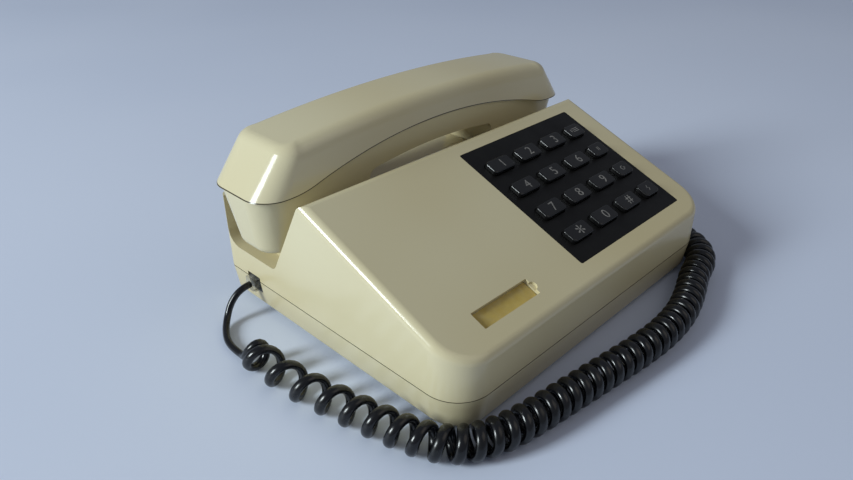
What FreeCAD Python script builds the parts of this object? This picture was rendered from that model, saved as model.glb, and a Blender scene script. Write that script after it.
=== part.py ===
import FreeCAD, Part
import math
import os

# Corded desk phone: a wedge desk set with a 16-key pad, a handset lying in the
# cradle across its rear, and a curly cord that runs round the left, front and right.
# Millimetres. X runs left to right, Y front to rear, Z up, with Z = 0 on the table.

V = FreeCAD.Vector
os.makedirs("parts", exist_ok=True)

# Desk set, outside
BASE_W = 200.0
BASE_D = 163.0
CORNER_R = 17.5
REAR_CORNER_R = 7.0
FOOT_H = 3.0
TRAY_H = 15.4
TRAY_INSET = 2.0
TRAY_ROUND = 3.0
FRONT_H = 19.3
RIDGE_RISE = 37.7
TOP_ROUND = 4.0
WALL = 2.5
SEAM_GAP = 0.4
LIP_H = 2.0
LIP_T = 1.4
FIT = 0.15

# Cradle across the rear
CRADLE_D = 68.6
CRADLE_DEPTH = 43.4
CRADLE_LEAN = 0.567
CRADLE_ROUND = 5.0
REAR_FLOOR_ROUND = 9.0
REAR_WALL_T = 5.1
REAR_WALL_H = 26.0
BRIDGE_H = 23.0
BRIDGE_GAP = 2.0
REST_H = 9.2
REST_R = 13.0
SEAT_GAP = 0.3
CRADLE_GAP = 1.1

# Keypad
PANEL_T = 2.0
PANEL_R = 1.0
PANEL_X = 38.3
PANEL_S = 10.6
PANEL_REAR = 9.1
LEDGE_W = 2.5
RIM_W = 3.0
RIM_T = 2.0
KEY_W = 16.0
FUNCTION_KEY_W = 12.0
KEY_L = 8.5
KEY_R = 1.8
KEY_RISE = 2.5
KEY_EDGE_R = 0.7
KEY_SPACE_X = 6.1
KEY_MARGIN = 6.05
KEY_FRONT_MARGIN = 9.65
KEY_REAR_MARGIN = 11.4
KEY_GAP = 0.35
KEY_TRAVEL = 2.0
FLANGE_W = 1.0
FLANGE_T = 1.0
FLANGE_GAP = 0.1
STEM_R = 2.2
STEM_T = 1.5
DOME_R = 3.2
DOME_H = 0.8
DOME_GAP = 0.3
MAT_T = 1.2
MAT_MARGIN = 7.5
BOARD_T = 1.6
BOARD_MARGIN = 1.2
BOARD_POST_R = 2.4
BOARD_SCREW_R = 0.9
BOARD_SCREW_L = 5.0

# Name card in its recess
CARD_W = 36.0
CARD_L = 8.9
CARD_X = -57.0
CARD_S = 10.2
CARD_T = 0.3
COVER_T = 0.8
RECESS_T = 2.4
NOTCH_R = 2.2

# Fixings and feet
POST_R = 4.0
BOSS_R = 5.0
SCREW_R = 1.45
SCREW_HEAD_R = 3.1
SCREW_HEAD_T = 2.0
SCREW_L = 14.0
FRONT_POST_X = 91.5
FRONT_POST_INSET = 31.5
REAR_POST_X = 58.0
REAR_POST_INSET = 13.5
BOSS_H = 4.5
FOOT_R = 6.0
FOOT_X = 80.0
FOOT_INSET = 19.5
FOOT_SINK = 1.0

# Inside the desk set
MAIN_BOARD_W = 136.0
MAIN_BOARD_D = 50.0
MAIN_BOARD_X = -22.0
MAIN_BOARD_INSET = 19.5
MAIN_TAB_W = 40.0
MAIN_TAB_D = 14.4
STANDOFF_H = 3.5
STANDOFF_R = 3.0
STANDOFF_INSET_X = 14.0
STANDOFF_INSET_Y = 4.0
PIN_R = 1.4
RINGER_R = 16.0
RINGER_H = 8.0
RINGER_X = -58.0
RINGER_INSET = 47.5
BALLAST_W = 80.0
BALLAST_D = 46.0
BALLAST_T = 3.0
BALLAST_X = 28.0
BALLAST_INSET = 41.5
BALLAST_PEG_INSET = 9.6
PEG_R = 2.5
RIBBON_W = 14.0
RIBBON_T = 0.8
RIBBON_X = 12.0
RIBBON_BACK = 27.6
RIBBON_BEND_R = 3.0
CONNECTOR_D = 5.0
CONNECTOR_H = 6.0
CHIP_W = 22.0
CHIP_D = 9.0
CHIP_H = 3.4
COIL_W = 18.0
COIL_D = 16.0
COIL_H = 13.0
CAPACITOR_R = 3.2
CAPACITOR_H = 11.0

# Modular sockets and plugs
PLUG_W = 7.6
PLUG_H = 6.2
PLUG_L = 12.0
PLUG_OUT = 2.6
SOCKET_WALL = 1.3
SOCKET_L = 15.0
SOCKET_RISE = 1.2
SOCKET_SINK = 0.8
HANDSET_SOCKET_INSET = 24.0
LINE_SOCKET_X = 22.0
LINE_PLUG_W = 9.7
LATCH_W = 3.2
LATCH_T = 0.7

# Hook switch
PLUNGER_W = 12.0
PLUNGER_D = 8.0
PLUNGER_R = 2.0
PLUNGER_HEAD_H = 4.8
PLUNGER_TRAVEL = 5.0
ROD_R = 2.5
ROD_GAP = 0.3
COLLAR_R = 5.0
COLLAR_T = 2.0
SWITCH_W = 12.5
SWITCH_D = 10.0
SWITCH_H = 6.4
SPRING_WIRE = 0.8
SPRING_R = 3.8
SPRING_TURNS = 3

# Handset
HANDSET_L = 222.0
HANDSET_W = 45.8
HANDSET_CORNER_R = 15.0
CUP_H = 31.0
SEAM_RISE = 13.5
SEAM_FLAT_L = 16.0
SEAM_BLEND_R = 51.0
CROWN_H = 13.7
CROWN_R = 780.0
CROWN_CORNER_R = 8.0
CROWN_ROUND = 8.0
END_SLANT = 0.8
SIDE_DRAFT = 0.08
CUP_SIDE_INSET = 7.4
CUP_END_INSET = 6.3
CUP_CORNER_R = 11.0
CUP_ROUND = 5.0
SIDE_LIP = 0.3
END_LIP = 1.0
GRIP_GAP_W = 91.0
GRIP_T = 12.8
GRIP_CORNER_R = 5.0
CUP_DRAFT = 0.175
SHELL_T = 2.2
SHELL_GAP = 0.3
HANDSET_BOSS_X = 32.0
HANDSET_BOSS_R = 4.5
HANDSET_BOSS_H = 9.0
RECEIVER_R = 12.5
RECEIVER_T = 9.0
GASKET_T = 1.0
GASKET_BORE_R = 9.0
MIC_R = 5.0
MIC_T = 5.0
MIC_HOLDER_R = 8.0
SOUND_HOLE_R = 1.2
SOUND_RING_R = 6.0
MIC_RING_R = 3.0
WEIGHT_L = 36.0
WEIGHT_W = 22.0
WEIGHT_T = 6.0
WEIGHT_LIFT = 1.6
RIB_T = 2.0
HANDSET_SOCKET_RISE = 11.5

# Curly cord
CORD_D = 3.6
CURL_R = 6.4
CURL_LIFT = 0.15
CURL_START_DEG = 60.0
LOOSE_CURLS = 9
LOOSE_PITCH = 17.0
LOOSE_END_PITCH = 8.0
TIGHT_CURLS = 42
END_CURLS = 3
RAMP_TURNS = 1.75
LEAD_GAP = 0.3
LEAD_OUT = 15.4
LEAD_RUN = 17.6
LEAD_BULGE_X = -128.5
LEAD_BULGE_Y = 48.0
LEAD_SWING_X = 130.0
LEAD_SWING_Z = 24.0
LEAD_TURN = 12.0

# Levels and lines that follow from the sizes above
FRONT_Y = -BASE_D / 2.0
REAR_Y = BASE_D / 2.0
TRAY_Z = FOOT_H
SEAM_Z = TRAY_Z + TRAY_H
FRONT_TOP_Z = SEAM_Z + FRONT_H
SLOPE_RUN = BASE_D - CRADLE_D
RIDGE_Y = FRONT_Y + SLOPE_RUN
RIDGE_Z = FRONT_TOP_Z + RIDGE_RISE
SLOPE = math.atan2(RIDGE_RISE, SLOPE_RUN)
SLOPE_LENGTH = math.hypot(RIDGE_RISE, SLOPE_RUN)
CRADLE_FLOOR_Z = RIDGE_Z - CRADLE_DEPTH
BRIDGE_Z = CRADLE_FLOOR_Z + BRIDGE_H
REAR_WALL_Z = CRADLE_FLOOR_Z + REAR_WALL_H
REAR_INNER_Y = REAR_Y - REAR_WALL_T
REST_Z = CRADLE_FLOOR_Z + REST_H
BRIDGE_W = GRIP_GAP_W - 2.0 * BRIDGE_GAP
TRAY_FLOOR_Z = TRAY_Z + WALL
BOARD_Z = TRAY_FLOOR_Z + STANDOFF_H
BOARD_TOP_Z = BOARD_Z + BOARD_T
POST_Z = TRAY_FLOOR_Z + BOSS_H
HEAD_SEAT_Z = POST_Z - 0.9 * BOSS_H
PANEL_W = 2 * KEY_MARGIN + 3 * KEY_W + FUNCTION_KEY_W + 3 * KEY_SPACE_X
PANEL_L = SLOPE_LENGTH - PANEL_S - PANEL_REAR
KEY_SPACE_S = (PANEL_L - KEY_FRONT_MARGIN - KEY_REAR_MARGIN - 4 * KEY_L) / 3.0
RIBBON_S = SLOPE_LENGTH - RIBBON_BACK
RINGER_Y = FRONT_Y + RINGER_INSET
BALLAST_Y = FRONT_Y + BALLAST_INSET
REACH = 2.0 * BASE_W

CUP_Z = REST_Z + SEAT_GAP
SEAM_END_Z = CUP_Z + CUP_H
SEAM_MID_Z = SEAM_END_Z + SEAM_RISE
CROWN_Z = SEAM_MID_Z + CROWN_H
UNDER_Z = SEAM_MID_Z - GRIP_T
CUP_INNER_X = GRIP_GAP_W / 2.0
CUP_BOTTOM_W = HANDSET_W - 2 * CUP_SIDE_INSET
CUP_BOTTOM_L = HANDSET_L - 2 * CUP_END_INSET
SEAM_FLAT_X = HANDSET_L / 2.0 - SEAM_FLAT_L
SEAM_SPAN = (SEAM_FLAT_X ** 2 + SEAM_RISE ** 2) / (2.0 * SEAM_RISE)
SEAM_ARCH_R = SEAM_SPAN - SEAM_BLEND_R
UNDER_R = SEAM_ARCH_R - GRIP_T
UNDER_END_Z = UNDER_Z - UNDER_R + math.sqrt(UNDER_R ** 2 - CUP_INNER_X ** 2)
CUP_X = (CUP_INNER_X + (UNDER_END_Z - CUP_Z) * CUP_DRAFT + CUP_BOTTOM_L / 2.0) / 2.0
LEAN_LENGTH = math.sqrt(1.0 + CRADLE_LEAN ** 2)
CUP_EDGE_Y = (
    RIDGE_Y
    + (RIDGE_Z - CUP_Z - CUP_ROUND) * CRADLE_LEAN
    + (CUP_ROUND + CRADLE_GAP) * LEAN_LENGTH
)
HANDSET_Y = CUP_EDGE_Y - CUP_ROUND + CUP_BOTTOM_W / 2.0


def rounded_outline(width, depth, radius, z, cx=0.0, cy=0.0, rear_radius=None):
    """Closed wire: a rectangle in plan with round corners, the rear two with a radius of their own if given."""
    corners = []
    for turn in range(4):
        side_x = 1.0 if turn in (0, 3) else -1.0
        side_y = 1.0 if turn in (0, 1) else -1.0
        bend = rear_radius if rear_radius and side_y > 0.0 else radius
        corner_x = cx + side_x * (width / 2.0 - bend)
        corner_y = cy + side_y * (depth / 2.0 - bend)
        marks = []
        for step in range(3):
            angle = math.radians(90.0 * turn + 45.0 * step)
            marks.append(V(corner_x + bend * math.cos(angle), corner_y + bend * math.sin(angle), z))
        corners.append(marks)
    edges = []
    for turn in range(4):
        first, middle, last = corners[turn]
        edges.append(Part.Arc(first, middle, last).toShape())
        edges.append(Part.LineSegment(last, corners[(turn + 1) % 4][0]).toShape())
    return Part.Wire(edges)


def rounded_block(width, depth, radius, low, high, cx=0.0, cy=0.0):
    """Upright block with round vertical corners."""
    return Part.Face(rounded_outline(width, depth, radius, low, cx, cy)).extrude(V(0, 0, high - low))


def base_outline(inset, z):
    """Plan of the desk set, drawn in by inset."""
    return rounded_outline(BASE_W - 2 * inset, BASE_D - 2 * inset, CORNER_R - inset, z,
                           rear_radius=REAR_CORNER_R - inset)


def base_block(inset, low, high):
    """Upright block on the plan of the desk set, drawn in by inset."""
    return Part.Face(base_outline(inset, low)).extrude(V(0, 0, high - low))


def block(x0, x1, y0, y1, z0, z1):
    """Plain box between two corners."""
    return Part.makeBox(x1 - x0, y1 - y0, z1 - z0, V(x0, y0, z0))


def rod(radius, low, high, x, y):
    """Upright cylinder."""
    return Part.makeCylinder(radius, high - low, V(x, y, low))


def across(points, x0, x1, soft):
    """Prism from a side profile of (y, z) points, running along X, with a radius on each soft corner."""
    corners = [V(x0, y, z) for y, z in points]
    prism = Part.Face(Part.makePolygon(corners + corners[:1])).extrude(V(x1 - x0, 0, 0))
    for index, radius in soft.items():
        middle = V((x0 + x1) / 2.0, points[index][0], points[index][1])
        prism = rounded(prism, radius, lambda point, edge: (point - middle).Length < 0.01)
    return prism


def fused(shapes):
    """One clean solid from pieces that share faces."""
    return shapes[0].multiFuse(shapes[1:]).removeSplitter()


def rounded(shape, radius, wanted):
    """Fillet the edges whose middle passes the test."""
    edges = [edge for edge in shape.Edges if wanted(edge.CenterOfMass, edge)]
    return shape.makeFillet(radius, edges)


def on_slope(shape):
    """Move a piece drawn flat onto the sloped top: x stays, y runs up the slope, z is its normal."""
    placed = shape.copy()
    tilt = FreeCAD.Rotation(V(1, 0, 0), math.degrees(SLOPE))
    placed.Placement = FreeCAD.Placement(V(0, FRONT_Y, FRONT_TOP_Z), tilt)
    return placed


def save(name, *solids):
    """Write one node; several solids in it stay separate."""
    shape = solids[0] if len(solids) == 1 else Part.makeCompound(solids)
    shape.exportStep("parts/" + name + ".step")


def arc(first, middle, last):
    return Part.Arc(first, middle, last).toShape()


def line(first, last):
    return Part.LineSegment(first, last).toShape()


def crest(start, direction, end):
    """Middle of the arc that leaves start in a direction and ends at a point, and its radius."""
    chord = end - start
    along = (end - start).normalize()
    turn = direction.getAngle(along)
    side = (direction - along * direction.dot(along)).normalize()
    middle = start + chord * 0.5 + side * (chord.Length / 2.0 * math.tan(turn / 2.0))
    return middle, chord.Length / (2.0 * math.sin(turn))


def biarc(start, start_dir, end, end_dir):
    """Two arcs that join two points with given directions, and the smaller radius."""
    gap = end - start
    a = 2.0 * (1.0 - start_dir.dot(end_dir))
    b = 2.0 * gap.dot(start_dir + end_dir)
    step = (math.sqrt(b * b + 4.0 * a * gap.dot(gap)) - b) / (2.0 * a)
    middle = (start + start_dir * step + end - end_dir * step) * 0.5
    first, first_r = crest(start, start_dir, middle)
    second, second_r = crest(end, end_dir * -1.0, middle)
    return [arc(start, first, middle), arc(middle, second, end)], min(first_r, second_r)


def tube(edges, start, direction, radius):
    """Round wire or cord swept along a path of lines and arcs."""
    ring = Part.Wire(Part.Circle(start, direction, radius).toShape())
    return Part.Wire(edges).makePipeShell([ring], True, False)


# Upper housing: a wedge with a cradle cut across its rear

def side_profile(inset, floor_z, low, rear_wall):
    """Side profile of the wedge, drawn in by inset, with the cradle cut down to floor_z."""
    slope_drop = inset / math.cos(SLOPE)
    wall_shift = inset * LEAN_LENGTH
    front = FRONT_Y + inset
    front_top = FRONT_TOP_Z + inset * math.tan(SLOPE) - slope_drop
    ridge_shift = (slope_drop * CRADLE_LEAN - wall_shift) / (1.0 + math.tan(SLOPE) * CRADLE_LEAN)
    ridge_y = RIDGE_Y + ridge_shift
    ridge_z = RIDGE_Z + ridge_shift * math.tan(SLOPE) - slope_drop
    floor = floor_z - inset
    floor_y = RIDGE_Y + (RIDGE_Z - floor) * CRADLE_LEAN - wall_shift
    points = [(front, low), (front, front_top), (ridge_y, ridge_z), (floor_y, floor)]
    if rear_wall:
        points += [(REAR_INNER_Y, floor), (REAR_INNER_Y, REAR_WALL_Z), (REAR_Y, REAR_WALL_Z), (REAR_Y, low)]
    else:
        points += [(REAR_Y - inset, floor), (REAR_Y - inset, low)]
    return points


def wedge(inset, low, rear_wall):
    """The wedge as a solid: deep wells at both ends of the cradle, a higher bridge between them."""
    bridge = BRIDGE_W / 2.0 - inset
    soften = CRADLE_ROUND + inset
    body = across(side_profile(inset, BRIDGE_Z, low, rear_wall), -bridge, bridge, {3: soften})
    well = side_profile(inset, CRADLE_FLOOR_Z, low, rear_wall)
    for side in (-1.0, 1.0):
        ends = sorted((side * bridge, side * BASE_W))
        corners = {3: soften, 4: REAR_FLOOR_ROUND} if rear_wall else {3: soften}
        body = body.fuse(across(well, ends[0], ends[1], corners))
    return body.common(base_block(inset, low, RIDGE_Z)).removeSplitter()


def near(value, target):
    return abs(value - target) < 0.01


def on_top_face(point):
    """True on the sloped top of the wedge."""
    height = FRONT_TOP_Z + (point.y - FRONT_Y) * math.tan(SLOPE)
    return abs(point.z - height) < 0.05 and point.y < RIDGE_Y + 0.05


POSTS = []
FEET = []
for side in (-1.0, 1.0):
    POSTS.append((side * FRONT_POST_X, FRONT_Y + FRONT_POST_INSET))
    POSTS.append((side * REAR_POST_X, REAR_Y - REAR_POST_INSET))
    FEET.append((side * FOOT_X, FRONT_Y + FOOT_INSET))
    FEET.append((side * FOOT_X, REAR_Y - FOOT_INSET))

SOCKET_Z = BOARD_TOP_Z + SOCKET_RISE + SOCKET_WALL + PLUG_H / 2.0
SOCKET_Y = REAR_Y - HANDSET_SOCKET_INSET
BEZEL_W = PLUG_W + 2 * SOCKET_WALL
BEZEL_H = PLUG_H + 2 * SOCKET_WALL
LINE_BEZEL_W = LINE_PLUG_W + 2 * SOCKET_WALL
PANEL_MID_S = PANEL_S + PANEL_L / 2.0
CARD_MID_S = CARD_S + CARD_L / 2.0
BOARD_POSTS = []
for side_x in (-1.0, 1.0):
    for side_s in (-1.0, 1.0):
        BOARD_POSTS.append((PANEL_X + side_x * (PANEL_W / 2.0 - BOARD_MARGIN - BOARD_POST_R),
                            PANEL_MID_S + side_s * (PANEL_L / 2.0 - BOARD_MARGIN - BOARD_POST_R)))
FLANGE_TOP = -PANEL_T - FLANGE_GAP
STEM_LOW = FLANGE_TOP - FLANGE_T - STEM_T
DOME_TOP = STEM_LOW - KEY_TRAVEL - DOME_GAP
MAT_TOP = DOME_TOP - DOME_H
KEYBOARD_TOP = MAT_TOP - MAT_T


def socket_cutter():
    """Openings in the housing walls for the two socket bezels."""
    left = block(-REACH, -BASE_W / 2.0 + 2 * WALL, SOCKET_Y - BEZEL_W / 2 - FIT, SOCKET_Y + BEZEL_W / 2 + FIT,
                 SOCKET_Z - BEZEL_H / 2 - FIT, SOCKET_Z + BEZEL_H / 2 + FIT)
    rear = block(LINE_SOCKET_X - LINE_BEZEL_W / 2 - FIT, LINE_SOCKET_X + LINE_BEZEL_W / 2 + FIT,
                 REAR_Y - 2 * WALL, REACH, SOCKET_Z - BEZEL_H / 2 - FIT, SOCKET_Z + BEZEL_H / 2 + FIT)
    return left.fuse(rear)


def upper_housing():
    low = SEAM_Z + SEAM_GAP / 2.0
    body = wedge(0.0, low, True)
    body = rounded(body, TOP_ROUND, lambda point, edge: all(on_top_face(v.Point) for v in edge.Vertexes))
    body = body.cut(wedge(WALL, low - WALL, False))
    inside = base_block(WALL, POST_Z, RIDGE_Z).common(wedge(WALL / 2.0, 0.0, False))
    posts = [rod(POST_R, POST_Z, RIDGE_Z, x, y).common(inside) for x, y in POSTS]
    rests = [rod(REST_R, CRADLE_FLOOR_Z - WALL, REST_Z, side * CUP_X, HANDSET_Y) for side in (-1.0, 1.0)]
    rim = rounded_block(PANEL_W + 2 * RIM_W, PANEL_L + 2 * RIM_W, PANEL_R + RIM_W,
                        -PANEL_T - RIM_T, -WALL / 2.0, PANEL_X, PANEL_MID_S)
    card_rim = rounded_block(CARD_W + 2 * RIM_W, CARD_L + 2 * RIM_W, RIM_W,
                             -RECESS_T - RIM_T, -WALL / 2.0, CARD_X, CARD_MID_S)
    board_posts = [rod(BOARD_POST_R, KEYBOARD_TOP, -PANEL_T - RIM_T / 2.0, x, s) for x, s in BOARD_POSTS]
    added = posts + [on_slope(piece) for piece in [rim, card_rim] + board_posts]
    body = body.multiFuse([piece.common(wedge(0.0, 0.0, True)) for piece in added] + rests)
    pocket = rounded_block(PANEL_W + 2 * FIT, PANEL_L + 2 * FIT, PANEL_R + FIT, -PANEL_T, TOP_ROUND,
                           PANEL_X, PANEL_MID_S)
    hole = rounded_block(PANEL_W - 2 * LEDGE_W, PANEL_L - 2 * LEDGE_W, PANEL_R, -REACH, TOP_ROUND,
                         PANEL_X, PANEL_MID_S)
    hole = hole.common(block(-REACH, REACH, -REACH, REACH, -PANEL_T - RIM_T - FIT, TOP_ROUND))
    hole = hole.cut(Part.makeCompound(board_posts))
    recess = rounded_block(CARD_W, CARD_L, PANEL_R / 2.0, -RECESS_T, TOP_ROUND, CARD_X, CARD_MID_S)
    finger_notch = rod(NOTCH_R, -RECESS_T + CARD_T + COVER_T, TOP_ROUND, CARD_X + CARD_W / 2.0, CARD_MID_S)
    pilots = [rod(BOARD_SCREW_R + FIT / 3.0, KEYBOARD_TOP - BOARD_T, KEYBOARD_TOP + BOARD_SCREW_L, x, s)
              for x, s in BOARD_POSTS]
    cuts = [on_slope(piece) for piece in [pocket, hole, recess, finger_notch] + pilots]
    cuts += [rod(SCREW_R + FIT / 3.0, POST_Z - 1.0, HEAD_SEAT_Z + SCREW_L + 1.0, x, y) for x, y in POSTS]
    head_hole = rounded_block(PLUNGER_W + 2 * ROD_GAP, PLUNGER_D + 2 * ROD_GAP, PLUNGER_R + ROD_GAP,
                              REST_Z - PLUNGER_HEAD_H - 1.0, RIDGE_Z, -CUP_X, HANDSET_Y)
    cuts += [head_hole, rod(ROD_R + ROD_GAP, 0.0, REST_Z, -CUP_X, HANDSET_Y), socket_cutter()]
    return body.cut(Part.makeCompound(cuts)).removeSplitter()


save("upper_housing", upper_housing())


# Lower housing: a shallow tray with a lip inside the seam

def lower_housing():
    top = SEAM_Z - SEAM_GAP / 2.0
    tray = Part.makeLoft([base_outline(TRAY_INSET, TRAY_Z), base_outline(0.0, top)], True, True)
    tray = rounded(tray, TRAY_ROUND, lambda point, edge: near(edge.BoundBox.ZMax, TRAY_Z))
    tray = tray.cut(base_block(TRAY_INSET + WALL, TRAY_FLOOR_Z, RIDGE_Z))
    lip = base_block(WALL + FIT, SEAM_Z - LIP_H, SEAM_Z + LIP_H)
    lip = lip.cut(base_block(WALL + FIT + LIP_T, 0.0, RIDGE_Z))
    body = tray.fuse(lip)
    bosses = [rod(BOSS_R, TRAY_FLOOR_Z - WALL / 2.0, POST_Z, x, y) for x, y in POSTS]
    for x, y in STANDOFFS:
        bosses.append(rod(STANDOFF_R, TRAY_FLOOR_Z - WALL / 2.0, BOARD_Z, x, y))
        bosses.append(rod(PIN_R, BOARD_Z - WALL, BOARD_TOP_Z + PIN_R, x, y))
    for x, y in BALLAST_PEGS:
        bosses.append(rod(PEG_R, TRAY_FLOOR_Z - WALL / 2.0, TRAY_FLOOR_Z + 1.5 * BALLAST_T, x, y))
    cup = rod(RINGER_R + FIT + LIP_T, TRAY_FLOOR_Z - WALL / 2.0, TRAY_FLOOR_Z + LIP_H, RINGER_X, RINGER_Y)
    bosses.append(cup.cut(rod(RINGER_R + FIT, TRAY_FLOOR_Z, RIDGE_Z, RINGER_X, RINGER_Y)))
    body = body.multiFuse(bosses)
    cuts = [socket_cutter()]
    for x, y in POSTS:
        cuts.append(rod(SCREW_R + FIT, 0.0, RIDGE_Z, x, y))
        cuts.append(rod(SCREW_HEAD_R + FIT, 0.0, HEAD_SEAT_Z, x, y))
    cuts += [rod(FOOT_R + FIT, 0.0, FOOT_H + FOOT_SINK, x, y) for x, y in FEET]
    for row in range(-2, 3):
        cuts.append(block(RINGER_X - RINGER_R / 2, RINGER_X + RINGER_R / 2,
                          RINGER_Y + row * RINGER_R / 4 - LIP_T / 2, RINGER_Y + row * RINGER_R / 4 + LIP_T / 2,
                          0.0, TRAY_FLOOR_Z + FIT))
    return body.cut(Part.makeCompound(cuts)).removeSplitter()


BOARD_REAR_Y = REAR_Y - MAIN_BOARD_INSET
BOARD_MID_Y = BOARD_REAR_Y - MAIN_BOARD_D / 2.0
STANDOFFS = []
for side_x in (-1.0, 1.0):
    for side_y in (-1.0, 1.0):
        STANDOFFS.append((MAIN_BOARD_X + side_x * (MAIN_BOARD_W / 2.0 - STANDOFF_INSET_X),
                          BOARD_MID_Y + side_y * (MAIN_BOARD_D / 2.0 - STANDOFF_INSET_Y)))
BALLAST_PEGS = [(BALLAST_X + side * (BALLAST_W / 2.0 - BALLAST_PEG_INSET), BALLAST_Y) for side in (-1.0, 1.0)]
save("lower_housing", lower_housing())
save("rubber_feet", *[rod(FOOT_R, 0.0, FOOT_H + FOOT_SINK, x, y) for x, y in FEET])


def screw(shank, length, head, head_t, x, y, seat):
    """Pan-head screw driven upwards, head under its seat, with a cross cut in the head."""
    body = rod(head, seat - head_t, seat, x, y).fuse(rod(shank, seat, seat + length, x, y))
    slot = head / 4.0
    cross = block(x - head / 2, x + head / 2, y - slot / 2, y + slot / 2, seat - 2 * head_t, seat - head_t / 2)
    cross = cross.fuse(block(x - slot / 2, x + slot / 2, y - head / 2, y + head / 2,
                             seat - 2 * head_t, seat - head_t / 2))
    return body.cut(cross)


save("housing_screws", *[screw(SCREW_R, SCREW_L, SCREW_HEAD_R, SCREW_HEAD_T, x, y, HEAD_SEAT_Z) for x, y in POSTS])


# Keypad: panel, sixteen keys, rubber mat, board and its screws

def key_places():
    """Name, width and centre (x, s) of each key, row by row from the rear."""
    names = (("key_1", "key_2", "key_3", "key_function_1"),
             ("key_4", "key_5", "key_6", "key_function_2"),
             ("key_7", "key_8", "key_9", "key_function_3"),
             ("key_star", "key_0", "key_hash", "key_function_4"))
    places = []
    for row in range(4):
        s = PANEL_S + KEY_FRONT_MARGIN + KEY_L / 2.0 + (3 - row) * (KEY_L + KEY_SPACE_S)
        edge = PANEL_X - PANEL_W / 2.0 + KEY_MARGIN
        for column in range(4):
            width = FUNCTION_KEY_W if column == 3 else KEY_W
            places.append((names[row][column], width, edge + width / 2.0, s))
            edge += width + KEY_SPACE_X
    return places


KEYS = key_places()
panel = rounded_block(PANEL_W, PANEL_L, PANEL_R, -PANEL_T, 0.0, PANEL_X, PANEL_MID_S)
openings = []
for name, width, x, s in KEYS:
    openings.append(rounded_block(width + 2 * KEY_GAP, KEY_L + 2 * KEY_GAP, KEY_R + KEY_GAP, -REACH, REACH, x, s))
save("keypad_panel", on_slope(panel.cut(Part.makeCompound(openings))))


def key(width, x, s):
    """Key cap with a flange that keeps it under the panel and a stem over its dome."""
    cap = rounded_block(width, KEY_L, KEY_R, FLANGE_TOP - FLANGE_T / 2.0, KEY_RISE, x, s)
    cap = rounded(cap, KEY_EDGE_R, lambda point, edge: near(edge.BoundBox.ZMin, KEY_RISE))
    skirt = 2 * (KEY_GAP + FLANGE_W)
    flange = rounded_block(width + skirt, KEY_L + skirt, KEY_R + skirt / 2.0, FLANGE_TOP - FLANGE_T, FLANGE_TOP, x, s)
    stem = rod(STEM_R, STEM_LOW, FLANGE_TOP - FLANGE_T / 2.0, x, s)
    return on_slope(fused([cap, flange, stem]))


for name, width, x, s in KEYS:
    save(name, key(width, x, s))

domes = []
for name, width, x, s in KEYS:
    domes.append(Part.makeCone(DOME_R, STEM_R, DOME_H + MAT_T / 2.0, V(x, s, MAT_TOP - MAT_T / 2.0)))
mat = rounded_block(PANEL_W - 2 * MAT_MARGIN, PANEL_L - 2 * MAT_MARGIN, PANEL_R, MAT_TOP - MAT_T, MAT_TOP,
                    PANEL_X, PANEL_MID_S)
save("key_mat", on_slope(fused([mat] + domes)))

keyboard = rounded_block(PANEL_W - 2 * BOARD_MARGIN, PANEL_L - 2 * BOARD_MARGIN, PANEL_R,
                         KEYBOARD_TOP - BOARD_T, KEYBOARD_TOP, PANEL_X, PANEL_MID_S)
holes = [rod(BOARD_SCREW_R + FIT, -REACH, 0.0, x, s) for x, s in BOARD_POSTS]
save("keypad_board", on_slope(keyboard.cut(Part.makeCompound(holes))))
board_screws = []
for x, s in BOARD_POSTS:
    board_screws.append(on_slope(screw(BOARD_SCREW_R, BOARD_SCREW_L, 2 * BOARD_SCREW_R, BOARD_SCREW_R, x, s,
                                       KEYBOARD_TOP - BOARD_T)))
save("keypad_board_screws", *board_screws)


# Name card under a clear cover

card_top = -RECESS_T + CARD_T
card = rounded_block(CARD_W - 2 * FIT, CARD_L - 2 * FIT, PANEL_R / 2.0, -RECESS_T, card_top, CARD_X, CARD_MID_S)
cover = rounded_block(CARD_W - 2 * FIT, CARD_L - 2 * FIT, PANEL_R / 2.0, card_top, card_top + COVER_T,
                      CARD_X, CARD_MID_S)
save("name_card", on_slope(card))
save("name_cover", on_slope(cover))


# Boards, sockets, ringer and weight inside the desk set

main_board = block(MAIN_BOARD_X - MAIN_BOARD_W / 2, MAIN_BOARD_X + MAIN_BOARD_W / 2,
                   BOARD_REAR_Y - MAIN_BOARD_D, BOARD_REAR_Y, BOARD_Z, BOARD_TOP_Z)
tab = block(LINE_SOCKET_X - MAIN_TAB_W / 2, LINE_SOCKET_X + MAIN_TAB_W / 2,
            BOARD_REAR_Y - MAIN_TAB_D, BOARD_REAR_Y + MAIN_TAB_D, BOARD_Z, BOARD_TOP_Z)
holes = [rod(PIN_R + FIT, 0.0, RIDGE_Z, x, y) for x, y in STANDOFFS]
save("main_board", main_board.fuse(tab).removeSplitter().cut(Part.makeCompound(holes)))


def socket(plug_w, foot):
    """Modular socket drawn with its mouth at the origin, opening towards -X and standing on a foot."""
    wide = plug_w + 2 * SOCKET_WALL
    body = block(0.0, SOCKET_L, -wide / 2, wide / 2, -BEZEL_H / 2, BEZEL_H / 2)
    body = body.fuse(block(2 * WALL + TRAY_INSET, SOCKET_L, -wide / 2, wide / 2, -BEZEL_H / 2 - foot, 0.0))
    inside = plug_w / 2 + FIT
    hole = block(-1.0, PLUG_L, -inside, inside, -PLUG_H / 2 - FIT, PLUG_H / 2 + FIT)
    key_way = LATCH_W / 2 + FIT
    hole = hole.fuse(block(-1.0, PLUG_L, -key_way, key_way, -PLUG_H / 2 - LATCH_T - FIT, 0.0))
    return body.removeSplitter().cut(hole)


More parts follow.
